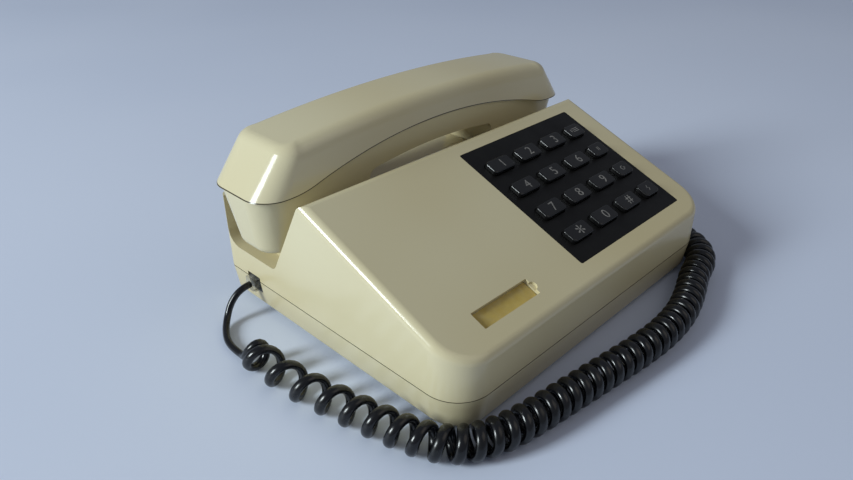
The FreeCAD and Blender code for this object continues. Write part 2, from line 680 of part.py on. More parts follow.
def plug(width):
    """Clear plug drawn like the socket, with its latch on the lower side."""
    body = block(-PLUG_OUT - SOCKET_SINK, PLUG_L - PLUG_OUT - SOCKET_SINK - FIT,
                 -width / 2, width / 2, -PLUG_H / 2, PLUG_H / 2)
    latch = block(-PLUG_OUT - SOCKET_SINK, PLUG_L / 2, -LATCH_W / 2, LATCH_W / 2, -PLUG_H / 2 - LATCH_T, 0.0)
    return body.fuse(latch).removeSplitter()


def turned(shape, x, y, z, degrees):
    """Turn about Z, then move."""
    placed = shape.copy()
    placed.Placement = FreeCAD.Placement(V(x, y, z), FreeCAD.Rotation(V(0, 0, 1), degrees))
    return placed


MOUTH_X = -BASE_W / 2.0 + SOCKET_SINK
save("handset_socket", turned(socket(PLUG_W, SOCKET_RISE), MOUTH_X, SOCKET_Y, SOCKET_Z, 0.0))
save("line_socket", turned(socket(LINE_PLUG_W, SOCKET_RISE), LINE_SOCKET_X, REAR_Y - SOCKET_SINK, SOCKET_Z, -90.0))
save("cord_plug_base", turned(plug(PLUG_W), MOUTH_X, SOCKET_Y, SOCKET_Z, 0.0))

ringer = rod(RINGER_R, TRAY_FLOOR_Z, TRAY_FLOOR_Z + RINGER_H, RINGER_X, RINGER_Y)
ringer = ringer.cut(rod(RINGER_R / 5, TRAY_FLOOR_Z + RINGER_H / 2, RIDGE_Z, RINGER_X, RINGER_Y))
save("ringer", ringer)
weight = block(BALLAST_X - BALLAST_W / 2, BALLAST_X + BALLAST_W / 2, BALLAST_Y - BALLAST_D / 2,
               BALLAST_Y + BALLAST_D / 2, TRAY_FLOOR_Z, TRAY_FLOOR_Z + BALLAST_T)
holes = [rod(PEG_R + FIT, 0.0, RIDGE_Z, x, y) for x, y in BALLAST_PEGS]
save("ballast_plate", weight.cut(Part.makeCompound(holes)))

# The ribbon hangs from the keypad board and bends into a connector on the main board
RIBBON_TOP = FRONT_TOP_Z + RIBBON_S * math.sin(SLOPE) + (KEYBOARD_TOP - BOARD_T - CONNECTOR_H) * math.cos(SLOPE)
RIBBON_Y = FRONT_Y + RIBBON_S * math.cos(SLOPE) - (KEYBOARD_TOP - BOARD_T - CONNECTOR_H) * math.sin(SLOPE)
RIBBON_LOW = BOARD_TOP_Z + CONNECTOR_H / 2.0
BOARD_FRONT_Y = BOARD_REAR_Y - MAIN_BOARD_D
ribbon = across([(RIBBON_Y, RIBBON_TOP), (RIBBON_Y, RIBBON_LOW), (BOARD_FRONT_Y, RIBBON_LOW),
                 (BOARD_FRONT_Y, RIBBON_LOW + RIBBON_T), (RIBBON_Y + RIBBON_T, RIBBON_LOW + RIBBON_T),
                 (RIBBON_Y + RIBBON_T, RIBBON_TOP)],
                RIBBON_X - RIBBON_W / 2, RIBBON_X + RIBBON_W / 2, {4: RIBBON_BEND_R})
save("ribbon_cable", ribbon)


def connector(x, s):
    """Shell of the ribbon's upper connector, under the keypad board."""
    return block(x - RIBBON_W / 2 - FIT, x + RIBBON_W / 2 + FIT, s - CONNECTOR_D / 2, s + CONNECTOR_D / 2,
                 KEYBOARD_TOP - BOARD_T - CONNECTOR_H, KEYBOARD_TOP - BOARD_T)


slot = ribbon.makeOffsetShape(FIT / 2.0, 0.001)
upper_connector = on_slope(connector(RIBBON_X, RIBBON_S)).cut(slot)
lower_connector = block(RIBBON_X - RIBBON_W / 2 - WALL, RIBBON_X + RIBBON_W / 2 + WALL,
                        BOARD_FRONT_Y, BOARD_FRONT_Y + CONNECTOR_D, BOARD_TOP_Z, BOARD_TOP_Z + CONNECTOR_H)
components = [upper_connector, lower_connector]
components.append(block(-CHIP_W, 0.0, BOARD_MID_Y, BOARD_MID_Y + CHIP_D, BOARD_TOP_Z, BOARD_TOP_Z + CHIP_H))
components.append(block(-2 * CHIP_W, -2 * CHIP_W + COIL_W, BOARD_MID_Y - COIL_D / 2, BOARD_MID_Y + COIL_D / 2,
                        BOARD_TOP_Z, BOARD_TOP_Z + COIL_H))
for place in range(3):
    components.append(rod(CAPACITOR_R, BOARD_TOP_Z, BOARD_TOP_Z + CAPACITOR_H,
                          -CHIP_W + place * 3 * CAPACITOR_R, BOARD_MID_Y - CHIP_D))
save("board_components", *components)


# Hook switch: the handset holds the plunger down on the switch

plunger = rounded_block(PLUNGER_W, PLUNGER_D, PLUNGER_R, REST_Z - PLUNGER_HEAD_H, REST_Z, -CUP_X, HANDSET_Y)
plunger = rounded(plunger, PLUNGER_R / 2.0, lambda point, edge: near(edge.BoundBox.ZMin, REST_Z))
SWITCH_TOP = BOARD_TOP_Z + SWITCH_H
COLLAR_TOP = CRADLE_FLOOR_Z - WALL - PLUNGER_TRAVEL - SEAT_GAP
SPRING_TOP = COLLAR_TOP - COLLAR_T
stalk = rod(ROD_R, SWITCH_TOP + SEAT_GAP, REST_Z - PLUNGER_HEAD_H / 2, -CUP_X, HANDSET_Y)
collar = rod(COLLAR_R, SPRING_TOP, COLLAR_TOP, -CUP_X, HANDSET_Y)
save("hook_plunger", fused([plunger, stalk, collar]))
save("hook_switch", block(-CUP_X - SWITCH_W / 2, -CUP_X + SWITCH_W / 2, HANDSET_Y - SWITCH_D / 2,
                          HANDSET_Y + SWITCH_D / 2, BOARD_TOP_Z, SWITCH_TOP))


def spring():
    """Coil spring round the plunger's stalk, as one tube on biarcs of half a turn."""
    low = SWITCH_TOP + SPRING_WIRE / 2.0 + FIT / 3.0
    high = SPRING_TOP - SPRING_WIRE / 2.0 - FIT / 3.0
    climb = (high - low) / SPRING_TURNS
    points = []
    directions = []
    for half in range(2 * SPRING_TURNS + 1):
        angle = math.pi * half
        points.append(V(SPRING_R * math.cos(angle) - CUP_X, SPRING_R * math.sin(angle) + HANDSET_Y,
                        low + climb * half / 2.0))
        directions.append(V(-math.sin(angle), math.cos(angle), climb / (2.0 * math.pi * SPRING_R)).normalize())
    edges = []
    for half in range(2 * SPRING_TURNS):
        edges += biarc(points[half], directions[half], points[half + 1], directions[half + 1])[0]
    print("spring: least gap between turns", round(climb - SPRING_WIRE, 2))
    return tube(edges, points[0], directions[0], SPRING_WIRE / 2.0)


save("hook_spring", spring())


# Handset: two shells that meet on a seam which follows the arched grip

def on_circle(centre, radius, towards):
    """Point of a circle in the direction of another point."""
    return centre + (towards - centre).normalize() * radius


def slab(edges, depth):
    """Solid from a closed side outline in the X-Z plane, centred on the handset."""
    face = Part.Face(Part.Wire(edges))
    face.translate(V(0, HANDSET_Y - depth / 2.0, 0))
    return face.extrude(V(0, depth, 0))


def under_seam(shift):
    """Everything below the seam, moved up by shift."""
    reach = HANDSET_L
    low = SEAM_END_Z - HANDSET_L
    end = SEAM_END_Z + shift
    top = V(0, 0, SEAM_MID_Z + shift)
    arch_centre = V(0, 0, SEAM_MID_Z + shift - SEAM_ARCH_R)
    edges = []
    joints = []
    for side in (-1.0, 1.0):
        blend_centre = V(side * SEAM_FLAT_X, 0, end + SEAM_BLEND_R)
        flat = V(side * SEAM_FLAT_X, 0, end)
        joint = on_circle(arch_centre, SEAM_ARCH_R, blend_centre)
        edges.append(arc(flat, on_circle(blend_centre, SEAM_BLEND_R, (flat + joint) * 0.5), joint))
        edges.append(line(V(side * reach, 0, end), flat))
        edges.append(line(V(side * reach, 0, low), V(side * reach, 0, end)))
        joints.append(joint)
    edges.append(arc(joints[0], top, joints[1]))
    edges.append(line(V(-reach, 0, low), V(reach, 0, low)))
    return slab(Part.__sortEdges__(edges), REACH)


def under_arch(radius, top, low, reach):
    """Everything below an arch of the given radius and crest height."""
    drop = radius - math.sqrt(radius ** 2 - reach ** 2)
    edges = [arc(V(-reach, 0, top - drop), V(0, 0, top), V(reach, 0, top - drop))]
    edges.append(line(V(reach, 0, top - drop), V(reach, 0, low)))
    edges.append(line(V(reach, 0, low), V(-reach, 0, low)))
    edges.append(line(V(-reach, 0, low), V(-reach, 0, top - drop)))
    return slab(edges, REACH)


def upper_form(thin):
    """Upper half before it is trimmed at the seam, drawn in by the wall thickness thin."""
    steep = math.sqrt(1.0 + END_SLANT ** 2)
    outlines = []
    for z, radius in ((SEAM_END_Z - CROWN_ROUND, HANDSET_CORNER_R), (CROWN_Z + CROWN_ROUND, CROWN_CORNER_R)):
        length = HANDSET_L - 2 * END_SLANT * (z - SEAM_END_Z) - 2 * thin * steep
        width = HANDSET_W - 2 * SIDE_DRAFT * (z - SEAM_END_Z) - 2 * thin
        outlines.append(rounded_outline(length, width, radius - thin, z, 0.0, HANDSET_Y))
    form = Part.makeLoft(outlines, True, True)
    return form.common(under_arch(CROWN_R - thin, CROWN_Z - thin, 0.0, HANDSET_L))


def on_crown(point):
    """True on the arched top of the handset."""
    return near(math.hypot(point.x, point.z - CROWN_Z + CROWN_R), CROWN_R)


LOWER_END_L = HANDSET_L - 2 * END_LIP
LOWER_MID_W = HANDSET_W - 2 * SIDE_DRAFT * SEAM_RISE - 2 * SIDE_LIP
END_DRAFT = (LOWER_END_L - CUP_BOTTOM_L) / (2.0 * CUP_H)
LOWER_DRAFT = (LOWER_MID_W - CUP_BOTTOM_W) / (2.0 * (SEAM_MID_Z - CUP_Z))


def lower_form(thin):
    """Lower half before it is trimmed, drawn in by the wall thickness thin."""
    outlines = []
    for z in (CUP_Z + thin, CROWN_Z):
        length = CUP_BOTTOM_L + 2 * END_DRAFT * (z - CUP_Z) - 2 * thin
        width = CUP_BOTTOM_W + 2 * LOWER_DRAFT * (z - CUP_Z) - 2 * thin
        share = (z - CUP_Z) / (CROWN_Z - CUP_Z)
        radius = CUP_CORNER_R + share * (HANDSET_CORNER_R - CUP_CORNER_R) - thin
        outlines.append(rounded_outline(length, width, radius, z, 0.0, HANDSET_Y))
    return Part.makeLoft(outlines, True, True)


def grip_space(grow):
    """Space under the grip between the two cups, with round upper corners."""
    low = CUP_Z - CUP_H
    inner = CUP_INNER_X + grow
    radius = UNDER_R + grow
    top = UNDER_Z + grow
    end = top - radius + math.sqrt(radius ** 2 - inner ** 2)
    wide = inner + (end - low) * CUP_DRAFT
    edges = [arc(V(-inner, 0, end), V(0, 0, top), V(inner, 0, end)), line(V(inner, 0, end), V(wide, 0, low)),
             line(V(wide, 0, low), V(-wide, 0, low)), line(V(-wide, 0, low), V(-inner, 0, end))]
    space = slab(edges, REACH)
    radius = GRIP_CORNER_R - grow / 2.0
    return rounded(space, radius, lambda point, edge: near(point.z, end) and near(abs(point.x), inner))


SPLIT_Z = UNDER_Z + HANDSET_BOSS_H
HANDSET_SEAT_Z = UNDER_Z + SHELL_T
HANDSET_SCREWS = [side * HANDSET_BOSS_X for side in (-1.0, 1.0)]
HANDSET_SOCKET_Z = CUP_Z + HANDSET_SOCKET_RISE
HANDSET_MOUTH_X = CUP_BOTTOM_L / 2.0 + END_DRAFT * HANDSET_SOCKET_RISE - SOCKET_SINK


def upper_shell():
    posts = [rod(HANDSET_BOSS_R, SPLIT_Z, CROWN_Z - SHELL_T / 2, x, HANDSET_Y) for x in HANDSET_SCREWS]
    outer = upper_form(0.0)
    outer = rounded(outer, CROWN_ROUND, lambda point, edge: all(on_crown(v.Point) for v in edge.Vertexes))
    shell = outer.cut(upper_form(SHELL_T)).cut(under_seam(SHELL_GAP / 2.0))
    shell = shell.multiFuse([post.common(under_arch(CROWN_R - SHELL_T / 2, CROWN_Z - SHELL_T / 2, 0.0, HANDSET_L))
                             for post in posts])
    pilots = [rod(SCREW_R + FIT / 3, SPLIT_Z - 1.0, HANDSET_SEAT_Z + SCREW_L + 1.0, x, HANDSET_Y)
              for x in HANDSET_SCREWS]
    return shell.cut(Part.makeCompound(pilots)).removeSplitter()


def ring_of_holes(count, ring, x):
    """Sound holes through the floor of a cup: one in the middle and a ring round it."""
    low = CUP_Z - SHELL_T
    high = CUP_Z + 2 * SHELL_T
    holes = [rod(SOUND_HOLE_R, low, high, x, HANDSET_Y)]
    for step in range(count):
        angle = 2 * math.pi * step / count
        holes.append(rod(SOUND_HOLE_R, low, high, x + ring * math.cos(angle), HANDSET_Y + ring * math.sin(angle)))
    return holes


def lower_shell():
    form = lower_form(0.0).cut(grip_space(0.0))
    form = rounded(form, CUP_ROUND, lambda point, edge: near(edge.BoundBox.ZMax, CUP_Z))
    shell = form.cut(lower_form(SHELL_T).cut(grip_space(SHELL_T)))
    shell = shell.common(under_seam(-SHELL_GAP / 2.0))
    inside = [rod(HANDSET_BOSS_R, UNDER_Z - HANDSET_BOSS_H, SPLIT_Z, x, HANDSET_Y) for x in HANDSET_SCREWS]
    for side in (-1.0, 1.0):
        x = side * WEIGHT_L / 3.0
        inside.append(block(x - RIB_T / 2, x + RIB_T / 2, HANDSET_Y - WEIGHT_W / 2, HANDSET_Y + WEIGHT_W / 2,
                            UNDER_Z - HANDSET_BOSS_H, HANDSET_SEAT_Z + WEIGHT_LIFT))
    inside.append(block(HANDSET_MOUTH_X - SOCKET_L + RIB_T, HANDSET_MOUTH_X - SOCKET_L / 2, HANDSET_Y - PLUG_W / 2,
                        HANDSET_Y + PLUG_W / 2, CUP_Z + SHELL_T / 2, HANDSET_SOCKET_Z - BEZEL_H / 2))
    shell = shell.multiFuse([piece.common(form) for piece in inside])
    cuts = ring_of_holes(6, SOUND_RING_R, -CUP_X) + ring_of_holes(3, MIC_RING_R, CUP_X)
    for x in HANDSET_SCREWS:
        cuts.append(rod(SCREW_R + FIT, CUP_Z, CROWN_Z, x, HANDSET_Y))
        cuts.append(rod(SCREW_HEAD_R + FIT, CUP_Z, HANDSET_SEAT_Z, x, HANDSET_Y))
    cuts.append(block(HANDSET_MOUTH_X - WALL - SHELL_T, HANDSET_L, HANDSET_Y - BEZEL_W / 2 - FIT,
                      HANDSET_Y + BEZEL_W / 2 + FIT, HANDSET_SOCKET_Z - BEZEL_H / 2 - FIT,
                      HANDSET_SOCKET_Z + BEZEL_H / 2 + FIT))
    return shell.cut(Part.makeCompound(cuts)).removeSplitter()


save("handset_upper_shell", upper_shell())
save("handset_lower_shell", lower_shell())


# Inside the handset: receiver on its gasket, microphone in its holder, a weight and two screws

CUP_FLOOR_Z = CUP_Z + SHELL_T
gasket = rod(RECEIVER_R, CUP_FLOOR_Z, CUP_FLOOR_Z + GASKET_T, -CUP_X, HANDSET_Y)
save("receiver_gasket", gasket.cut(rod(GASKET_BORE_R, 0.0, RIDGE_Z, -CUP_X, HANDSET_Y)))
receiver_z = CUP_FLOOR_Z + GASKET_T
receiver = rod(RECEIVER_R, receiver_z, receiver_z + 0.6 * RECEIVER_T, -CUP_X, HANDSET_Y)
receiver = receiver.fuse(rod(0.7 * RECEIVER_R, receiver_z, receiver_z + RECEIVER_T, -CUP_X, HANDSET_Y))
save("receiver", receiver.removeSplitter())
holder = rod(MIC_HOLDER_R, CUP_FLOOR_Z, CUP_FLOOR_Z + MIC_T, CUP_X, HANDSET_Y)
save("microphone_holder", holder.cut(rod(MIC_R + FIT, 0.0, RIDGE_Z, CUP_X, HANDSET_Y)))
save("microphone", rod(MIC_R, CUP_FLOOR_Z, CUP_FLOOR_Z + MIC_T, CUP_X, HANDSET_Y))
weight_z = HANDSET_SEAT_Z + WEIGHT_LIFT
save("handset_weight", block(-WEIGHT_L / 2, WEIGHT_L / 2, HANDSET_Y - WEIGHT_W / 2, HANDSET_Y + WEIGHT_W / 2,
                             weight_z, weight_z + WEIGHT_T))
save("handset_screws", *[screw(SCREW_R, SCREW_L, SCREW_HEAD_R, SCREW_HEAD_T, x, HANDSET_Y, HANDSET_SEAT_Z)
                         for x in HANDSET_SCREWS])
save("handset_cord_socket", turned(socket(PLUG_W, 0.0), HANDSET_MOUTH_X, HANDSET_Y, HANDSET_SOCKET_Z, 180.0))
save("cord_plug_handset", turned(plug(PLUG_W), HANDSET_MOUTH_X, HANDSET_Y, HANDSET_SOCKET_Z, 180.0))


# Curly cord: a lead from the desk set, the curls round three sides, a lead up to the handset

CORD_R = CORD_D / 2.0
CORD_Z = CORD_R + CURL_LIFT
AXIS = [(-127, 29), (-126.5, 14), (-126, -1), (-124, -16), (-121.5, -28), (-119, -41), (-116.5, -53),
        (-113, -64), (-108.5, -75), (-101, -85), (-90, -92), (-76, -97), (-58, -101), (-36, -104),
        (-10, -106), (14, -106), (38, -103.5), (60, -99.5), (80, -94.5), (97, -87.5), (107, -76),
        (111, -61), (112, -40), (112, -15), (112, 16)]


curve = Part.BSplineCurve()
curve.interpolate([V(x, y, 0) for x, y in AXIS])
ALL_CURLS = LOOSE_CURLS + TIGHT_CURLS + END_CURLS
AXIS_LENGTH = curve.length()


def loose_distance(turns, curls):
    """Distance covered by the first turns of a loose stretch whose pitch shrinks over a number of curls."""
    rate = math.log(LOOSE_END_PITCH / LOOSE_PITCH) / curls
    return LOOSE_PITCH * (math.exp(rate * turns) - 1.0) / rate


LOOSE_LENGTH = loose_distance(LOOSE_CURLS, LOOSE_CURLS)
END_LENGTH = loose_distance(END_CURLS, END_CURLS)
TIGHT_PITCH = (AXIS_LENGTH - LOOSE_LENGTH - END_LENGTH) / TIGHT_CURLS
print("curls: axis", round(AXIS_LENGTH, 1), "tight pitch", round(TIGHT_PITCH, 2))


def curl_distance(turns):
    """Distance along the axis after a number of curls: loose at both ends, evenly tight between."""
    if turns < LOOSE_CURLS:
        return loose_distance(turns, LOOSE_CURLS)
    if turns > ALL_CURLS - END_CURLS:
        return AXIS_LENGTH - loose_distance(ALL_CURLS - turns, END_CURLS)
    return LOOSE_LENGTH + (turns - LOOSE_CURLS) * TIGHT_PITCH


def curl_point(turns):
    """Point of the wire: a helix round the axis that opens out of a straight run at each end."""
    share = min(1.0, min(turns, ALL_CURLS - turns) / RAMP_TURNS)
    share = share * share * (3.0 - 2.0 * share)
    where = curve.parameterAtDistance(curl_distance(turns), curve.FirstParameter)
    outward = curve.tangent(where)[0].cross(V(0, 0, 1)).normalize()
    angle = math.radians(CURL_START_DEG) + 2.0 * math.pi * turns
    reach = CURL_R * share
    rise = CORD_Z + reach + reach * math.sin(angle)
    return curve.value(where) + outward * (reach * math.cos(angle)) + V(0, 0, rise)


def curl_direction(turns):
    step = 0.001
    return (curl_point(min(turns + step, ALL_CURLS)) - curl_point(max(turns - step, 0.0))).normalize()


def curls():
    """The curls as one unbroken tube on biarcs, in quarter turns near the ends and half turns between."""
    marks = []
    quarter = 0
    while quarter <= 4 * ALL_CURLS:
        marks.append(quarter / 4.0)
        quarter += 1 if quarter < 8 or quarter >= 4 * ALL_CURLS - 8 else 2
    points = [curl_point(mark) for mark in marks]
    directions = [curl_direction(mark) for mark in marks]
    first = points[0] - directions[0] * CORD_D
    last = points[-1] + directions[-1] * CORD_D
    edges = [line(first, points[0])]
    least = REACH
    for index in range(len(marks) - 1):
        pair, radius = biarc(points[index], directions[index], points[index + 1], directions[index + 1])
        edges += pair
        least = min(least, radius)
    edges.append(line(points[-1], last))
    print("curls: smallest arc radius", round(least, 2), "wire length", round(sum(e.Length for e in edges), 1))
    samples = []
    run = 0.0
    for edge in edges:
        for step, point in enumerate(edge.discretize(7)[:-1]):
            samples.append((run + edge.Length * step / 6.0, point))
        run += edge.Length
    gap = REACH
    for index, (here, point) in enumerate(samples):
        for there, other in samples[index:index + 60]:
            if there - here > 4.0 * CORD_D:
                gap = min(gap, (point - other).Length)
    print("curls: least gap of the wire to itself", round(gap - CORD_D, 2))
    return tube(edges, first, directions[0], CORD_R), first, last, sum(e.Length for e in edges)


def lead(name, points):
    """Cord along straight runs joined by tangent arcs."""
    edges = []
    here = points[0]
    radii = []
    for index in range(1, len(points) - 1):
        before = points[index] - points[index - 1]
        after = points[index + 1] - points[index]
        reach = 0.45 * min(before.Length, after.Length)
        half_turn = before.getAngle(after) / 2.0
        radii.append(round(reach / math.tan(half_turn), 1))
        enter = points[index] - before.normalize() * reach
        leave = points[index] + after.normalize() * reach
        edges.append(line(here, enter))
        edges.append(arc(enter, crest(enter, before, leave)[0], leave))
        here = leave
    edges.append(line(here, points[-1]))
    length = sum(edge.Length for edge in edges)
    solid = tube(edges, points[0], points[1] - points[0], CORD_R)
    share = solid.Volume / (math.pi * CORD_R ** 2 * length)
    print(name, "length", round(length, 1), "radii", radii, "volume against section x length", round(share, 4))
    save(name, solid)


coil, coil_start, coil_end, coil_length = curls()
print("curls: volume against section x length", round(coil.Volume / (math.pi * CORD_R ** 2 * coil_length), 4))
save("cord_curls", coil)
plug_end = V(MOUTH_X - PLUG_OUT - SOCKET_SINK, SOCKET_Y, SOCKET_Z)
lead("cord_lead_base", [plug_end, plug_end - V(LEAD_OUT, 0, 0), V(LEAD_BULGE_X, LEAD_BULGE_Y, CORD_Z),
                        coil_start + V(0, LEAD_GAP, 0)])
handset_end = V(HANDSET_MOUTH_X + PLUG_OUT + SOCKET_SINK, HANDSET_Y, HANDSET_SOCKET_Z)
elbow = handset_end + V(LEAD_TURN, 0, 0)
slant = LEAD_SWING_X - elbow.x
lead("cord_lead_handset", [coil_end + V(0, LEAD_GAP, 0), coil_end + V(0, LEAD_RUN, 0),
                           V(LEAD_SWING_X, HANDSET_Y, LEAD_SWING_Z), elbow + V(slant, 0, -slant), elbow, handset_end])
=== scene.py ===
import math

import bmesh
import bpy
from mathutils import Matrix, Vector


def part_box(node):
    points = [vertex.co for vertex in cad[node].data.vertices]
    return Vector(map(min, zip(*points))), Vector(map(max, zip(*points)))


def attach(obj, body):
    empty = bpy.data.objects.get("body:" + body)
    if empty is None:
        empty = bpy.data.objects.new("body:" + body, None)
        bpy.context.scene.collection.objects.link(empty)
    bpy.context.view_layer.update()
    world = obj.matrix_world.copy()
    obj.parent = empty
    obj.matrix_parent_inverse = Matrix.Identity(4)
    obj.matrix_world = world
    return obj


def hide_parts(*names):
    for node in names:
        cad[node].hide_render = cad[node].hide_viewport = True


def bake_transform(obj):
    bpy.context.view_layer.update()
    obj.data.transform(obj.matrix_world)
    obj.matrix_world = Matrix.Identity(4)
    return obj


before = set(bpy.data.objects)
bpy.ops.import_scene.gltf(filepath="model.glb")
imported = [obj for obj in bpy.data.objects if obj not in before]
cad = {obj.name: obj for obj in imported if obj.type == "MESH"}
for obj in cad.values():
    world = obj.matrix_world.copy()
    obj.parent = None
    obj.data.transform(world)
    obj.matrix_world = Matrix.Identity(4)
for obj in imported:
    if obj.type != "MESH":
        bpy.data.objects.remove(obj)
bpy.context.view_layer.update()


# Housings: an upper and a lower shell of injection-moulded ivory ABS, screwed together from below.
# The mould left a fine spark grain, and daylight has yellowed the plastic unevenly. Towards the lowest edge
# the colour is painted darker, and a line of painted shadow runs along the seam. The plunger of the hook
# switch is moulded of the same plastic.

def tone(red, green, blue):
    """Colour written as the eye sees it, from 0 to 255, for a shader."""
    shares = [value / 255.0 for value in (red, green, blue)]
    linear = [s / 12.92 if s <= 0.04045 else ((s + 0.055) / 1.055) ** 2.4 for s in shares]
    return (*linear, 1.0)


def new_material(name):
    """Material with its node tree, its shader and its object coordinates."""
    material = bpy.data.materials.new(name)
    material.use_nodes = True
    tree = material.node_tree
    coords = tree.nodes.new("ShaderNodeTexCoord").outputs["Object"]
    return material, tree, tree.nodes["Principled BSDF"], coords


def noise(tree, coords, scale, detail=2.0):
    """Cloudy factor between 0 and 1, with so many lumps to the metre."""
    node = tree.nodes.new("ShaderNodeTexNoise")
    node.inputs["Scale"].default_value = scale
    node.inputs["Detail"].default_value = detail
    tree.links.new(coords, node.inputs["Vector"])
    return node.outputs["Fac"]


def shades(tree, factor, stops):
    """Colours spread over a factor, as (place, colour) stops."""
    node = tree.nodes.new("ShaderNodeValToRGB")
    ramp = node.color_ramp
    ramp.interpolation = "EASE"
    while len(ramp.elements) < len(stops):
        ramp.elements.new(0.5)
    for element, (place, colour) in zip(ramp.elements, stops):
        element.position = place
        element.color = colour
    tree.links.new(factor, node.inputs["Fac"])
    return node.outputs["Color"]


def mixed(tree, factor, first, second):
    """Blend of two colours by a factor; a colour may be a socket or a plain value."""
    node = tree.nodes.new("ShaderNodeMix")
    node.data_type = "RGBA"
    # A colour mix takes its factor at input 0 and its two colours at inputs 6 and 7.
    sockets = (node.inputs[0], node.inputs[6], node.inputs[7])
    for socket, value in zip(sockets, (factor, first, second)):
        if isinstance(value, bpy.types.NodeSocket):
            tree.links.new(value, socket)
        else:
            socket.default_value = value
    return node.outputs[2]


def spread(tree, factor, first, last, start=0.3, end=0.7):
    """Value that goes from first to last while a factor goes from start to end."""
    node = tree.nodes.new("ShaderNodeMapRange")
    node.inputs["From Min"].default_value = start
    node.inputs["From Max"].default_value = end
    node.inputs["To Min"].default_value = first
    node.inputs["To Max"].default_value = last
    tree.links.new(factor, node.inputs["Value"])
    return node.outputs["Result"]


def relief(tree, shader, height, depth, strength):
    """Fine surface relief of a given depth in metres."""
    node = tree.nodes.new("ShaderNodeBump")
    node.inputs["Strength"].default_value = strength
    node.inputs["Distance"].default_value = depth
    tree.links.new(height, node.inputs["Height"])
    tree.links.new(node.outputs["Normal"], shader.inputs["Normal"])


def height_above_table(tree, coords):
    """Height of a point over the table."""
    node = tree.nodes.new("ShaderNodeSeparateXYZ")
    tree.links.new(coords, node.inputs["Vector"])
    return node.outputs["Z"]


def calc(tree, operation, first, second=0.0):
    """One step of arithmetic on sockets or plain numbers."""
    node = tree.nodes.new("ShaderNodeMath")
    node.operation = operation
    for socket, value in zip(node.inputs, (first, second)):
        if isinstance(value, bpy.types.NodeSocket):
            tree.links.new(value, socket)
        else:
            socket.default_value = value
    return node.outputs["Value"]


def off_level_seam(tree, coords):
    """Distance from the painted shadow line along the seam between tray and upper housing."""
    seam_height = 0.0184
    above = calc(tree, "SUBTRACT", height_above_table(tree, coords), seam_height)
    return calc(tree, "ABSOLUTE", above)


def ivory_abs(name, off_seam, darker_low):
    """Aged ivory ABS: uneven yellowing and a fine grain; if asked for, a painted shadow line along the seam
    and colour darker towards the bottom.
    """
    darken_from = 0.002
    darken_to = 0.016
    shade_reach = 0.00019
    shade_fades_at = 0.00025
    material, tree, shader, coords = new_material(name)
    blotches = noise(tree, coords, scale=9.0, detail=1.0)
    colour = shades(tree, blotches, [(0.15, tone(214, 205, 171)), (0.85, tone(201, 187, 145))])
    # Colour painted darker towards the bottom, fading out 16 mm above the table.
    if darker_low:
        height = height_above_table(tree, coords)
        low_darkening = spread(tree, height, first=0.35, last=0.0, start=darken_from, end=darken_to)
        colour = mixed(tree, low_darkening, colour, tone(150, 140, 116))
    # Painted shade: a thin dark line along the seam stands in for the shadow in the gap between the shells.
    if off_seam:
        distance = off_seam(tree, coords)
        seam_shade = spread(tree, distance, first=0.95, last=0.0, start=shade_reach, end=shade_fades_at)
        colour = mixed(tree, seam_shade, colour, tone(42, 35, 24))
    tree.links.new(colour, shader.inputs["Base Color"])
    handled = noise(tree, coords, scale=22.0, detail=2.0)
    gloss = spread(tree, handled, first=0.15, last=0.22, start=0.1, end=0.9)
    tree.links.new(gloss, shader.inputs["Roughness"])
    shader.inputs["Specular IOR Level"].default_value = 0.5
    grain = noise(tree, coords, scale=1500.0, detail=1.0)
    relief(tree, shader, grain, depth=0.00002, strength=0.10)
    return material


def dress(material, *names):
    """Give CAD pieces a finish."""
    for name in names:
        slots = cad[name].data.materials
        slots.clear()
        slots.append(material)


dress(ivory_abs("ivory_abs_desk_set", off_seam=off_level_seam, darker_low=True),
      "upper_housing", "lower_housing")
dress(ivory_abs("ivory_abs_plunger", off_seam=None, darker_low=False), "hook_plunger")


# Rubber feet: four round pads of black rubber pressed into sockets under the tray.
# Their faces are dull and greyed by the table. The microphone's holder and the
# receiver's gasket, inside the handset, are moulded of the same rubber.

material, tree, shader, coords = new_material("foot_rubber")
worn = noise(tree, coords, scale=160.0, detail=4.0)
rubber = shades(tree, worn, [(0.35, tone(30, 29, 28)), (0.7, tone(52, 50, 47))])
tree.links.new(rubber, shader.inputs["Base Color"])
tree.links.new(spread(tree, worn, first=0.72, last=0.9), shader.inputs["Roughness"])
relief(tree, shader, noise(tree, coords, scale=1300.0), depth=0.00006, strength=0.4)
dress(material, "rubber_feet", "microphone_holder", "receiver_gasket")


# Metal pieces: screws and hook spring of zinc-plated steel, a ballast plate and a handset weight
# of plain mill steel, and a drawn can round the microphone. All have a fine drawn grain,
# and their surfaces have dulled in places.

def metal(name, bright, dull, patch_scale):
    """Bright metal with duller patches and a fine grain."""
    material, tree, shader, coords = new_material(name)
    patches = noise(tree, coords, scale=patch_scale, detail=3.0)
    tree.links.new(shades(tree, patches, [(0.35, bright), (0.7, dull)]), shader.inputs["Base Color"])
    tree.links.new(spread(tree, patches, first=0.24, last=0.46), shader.inputs["Roughness"])
    shader.inputs["Metallic"].default_value = 1.0
    relief(tree, shader, noise(tree, coords, scale=1700.0), depth=0.00002, strength=0.2)
    return material


dress(metal("zinc_plate", bright=tone(198, 200, 202), dull=tone(150, 150, 148), patch_scale=240.0),
      "housing_screws", "keypad_board_screws", "handset_screws", "hook_spring")
dress(metal("mill_steel", bright=tone(128, 128, 130), dull=tone(86, 84, 82), patch_scale=60.0),
      "ballast_plate", "handset_weight")
dress(metal("drawn_can", bright=tone(206, 207, 208), dull=tone(170, 170, 170), patch_scale=120.0),
      "microphone")


# Circuit boards: green lacquered paper laminate with copper tracks showing through.
# The parts on them, the hook switch, the ringer and the receiver are black mouldings,
# and the ribbon cable between the boards is grey flat wire.

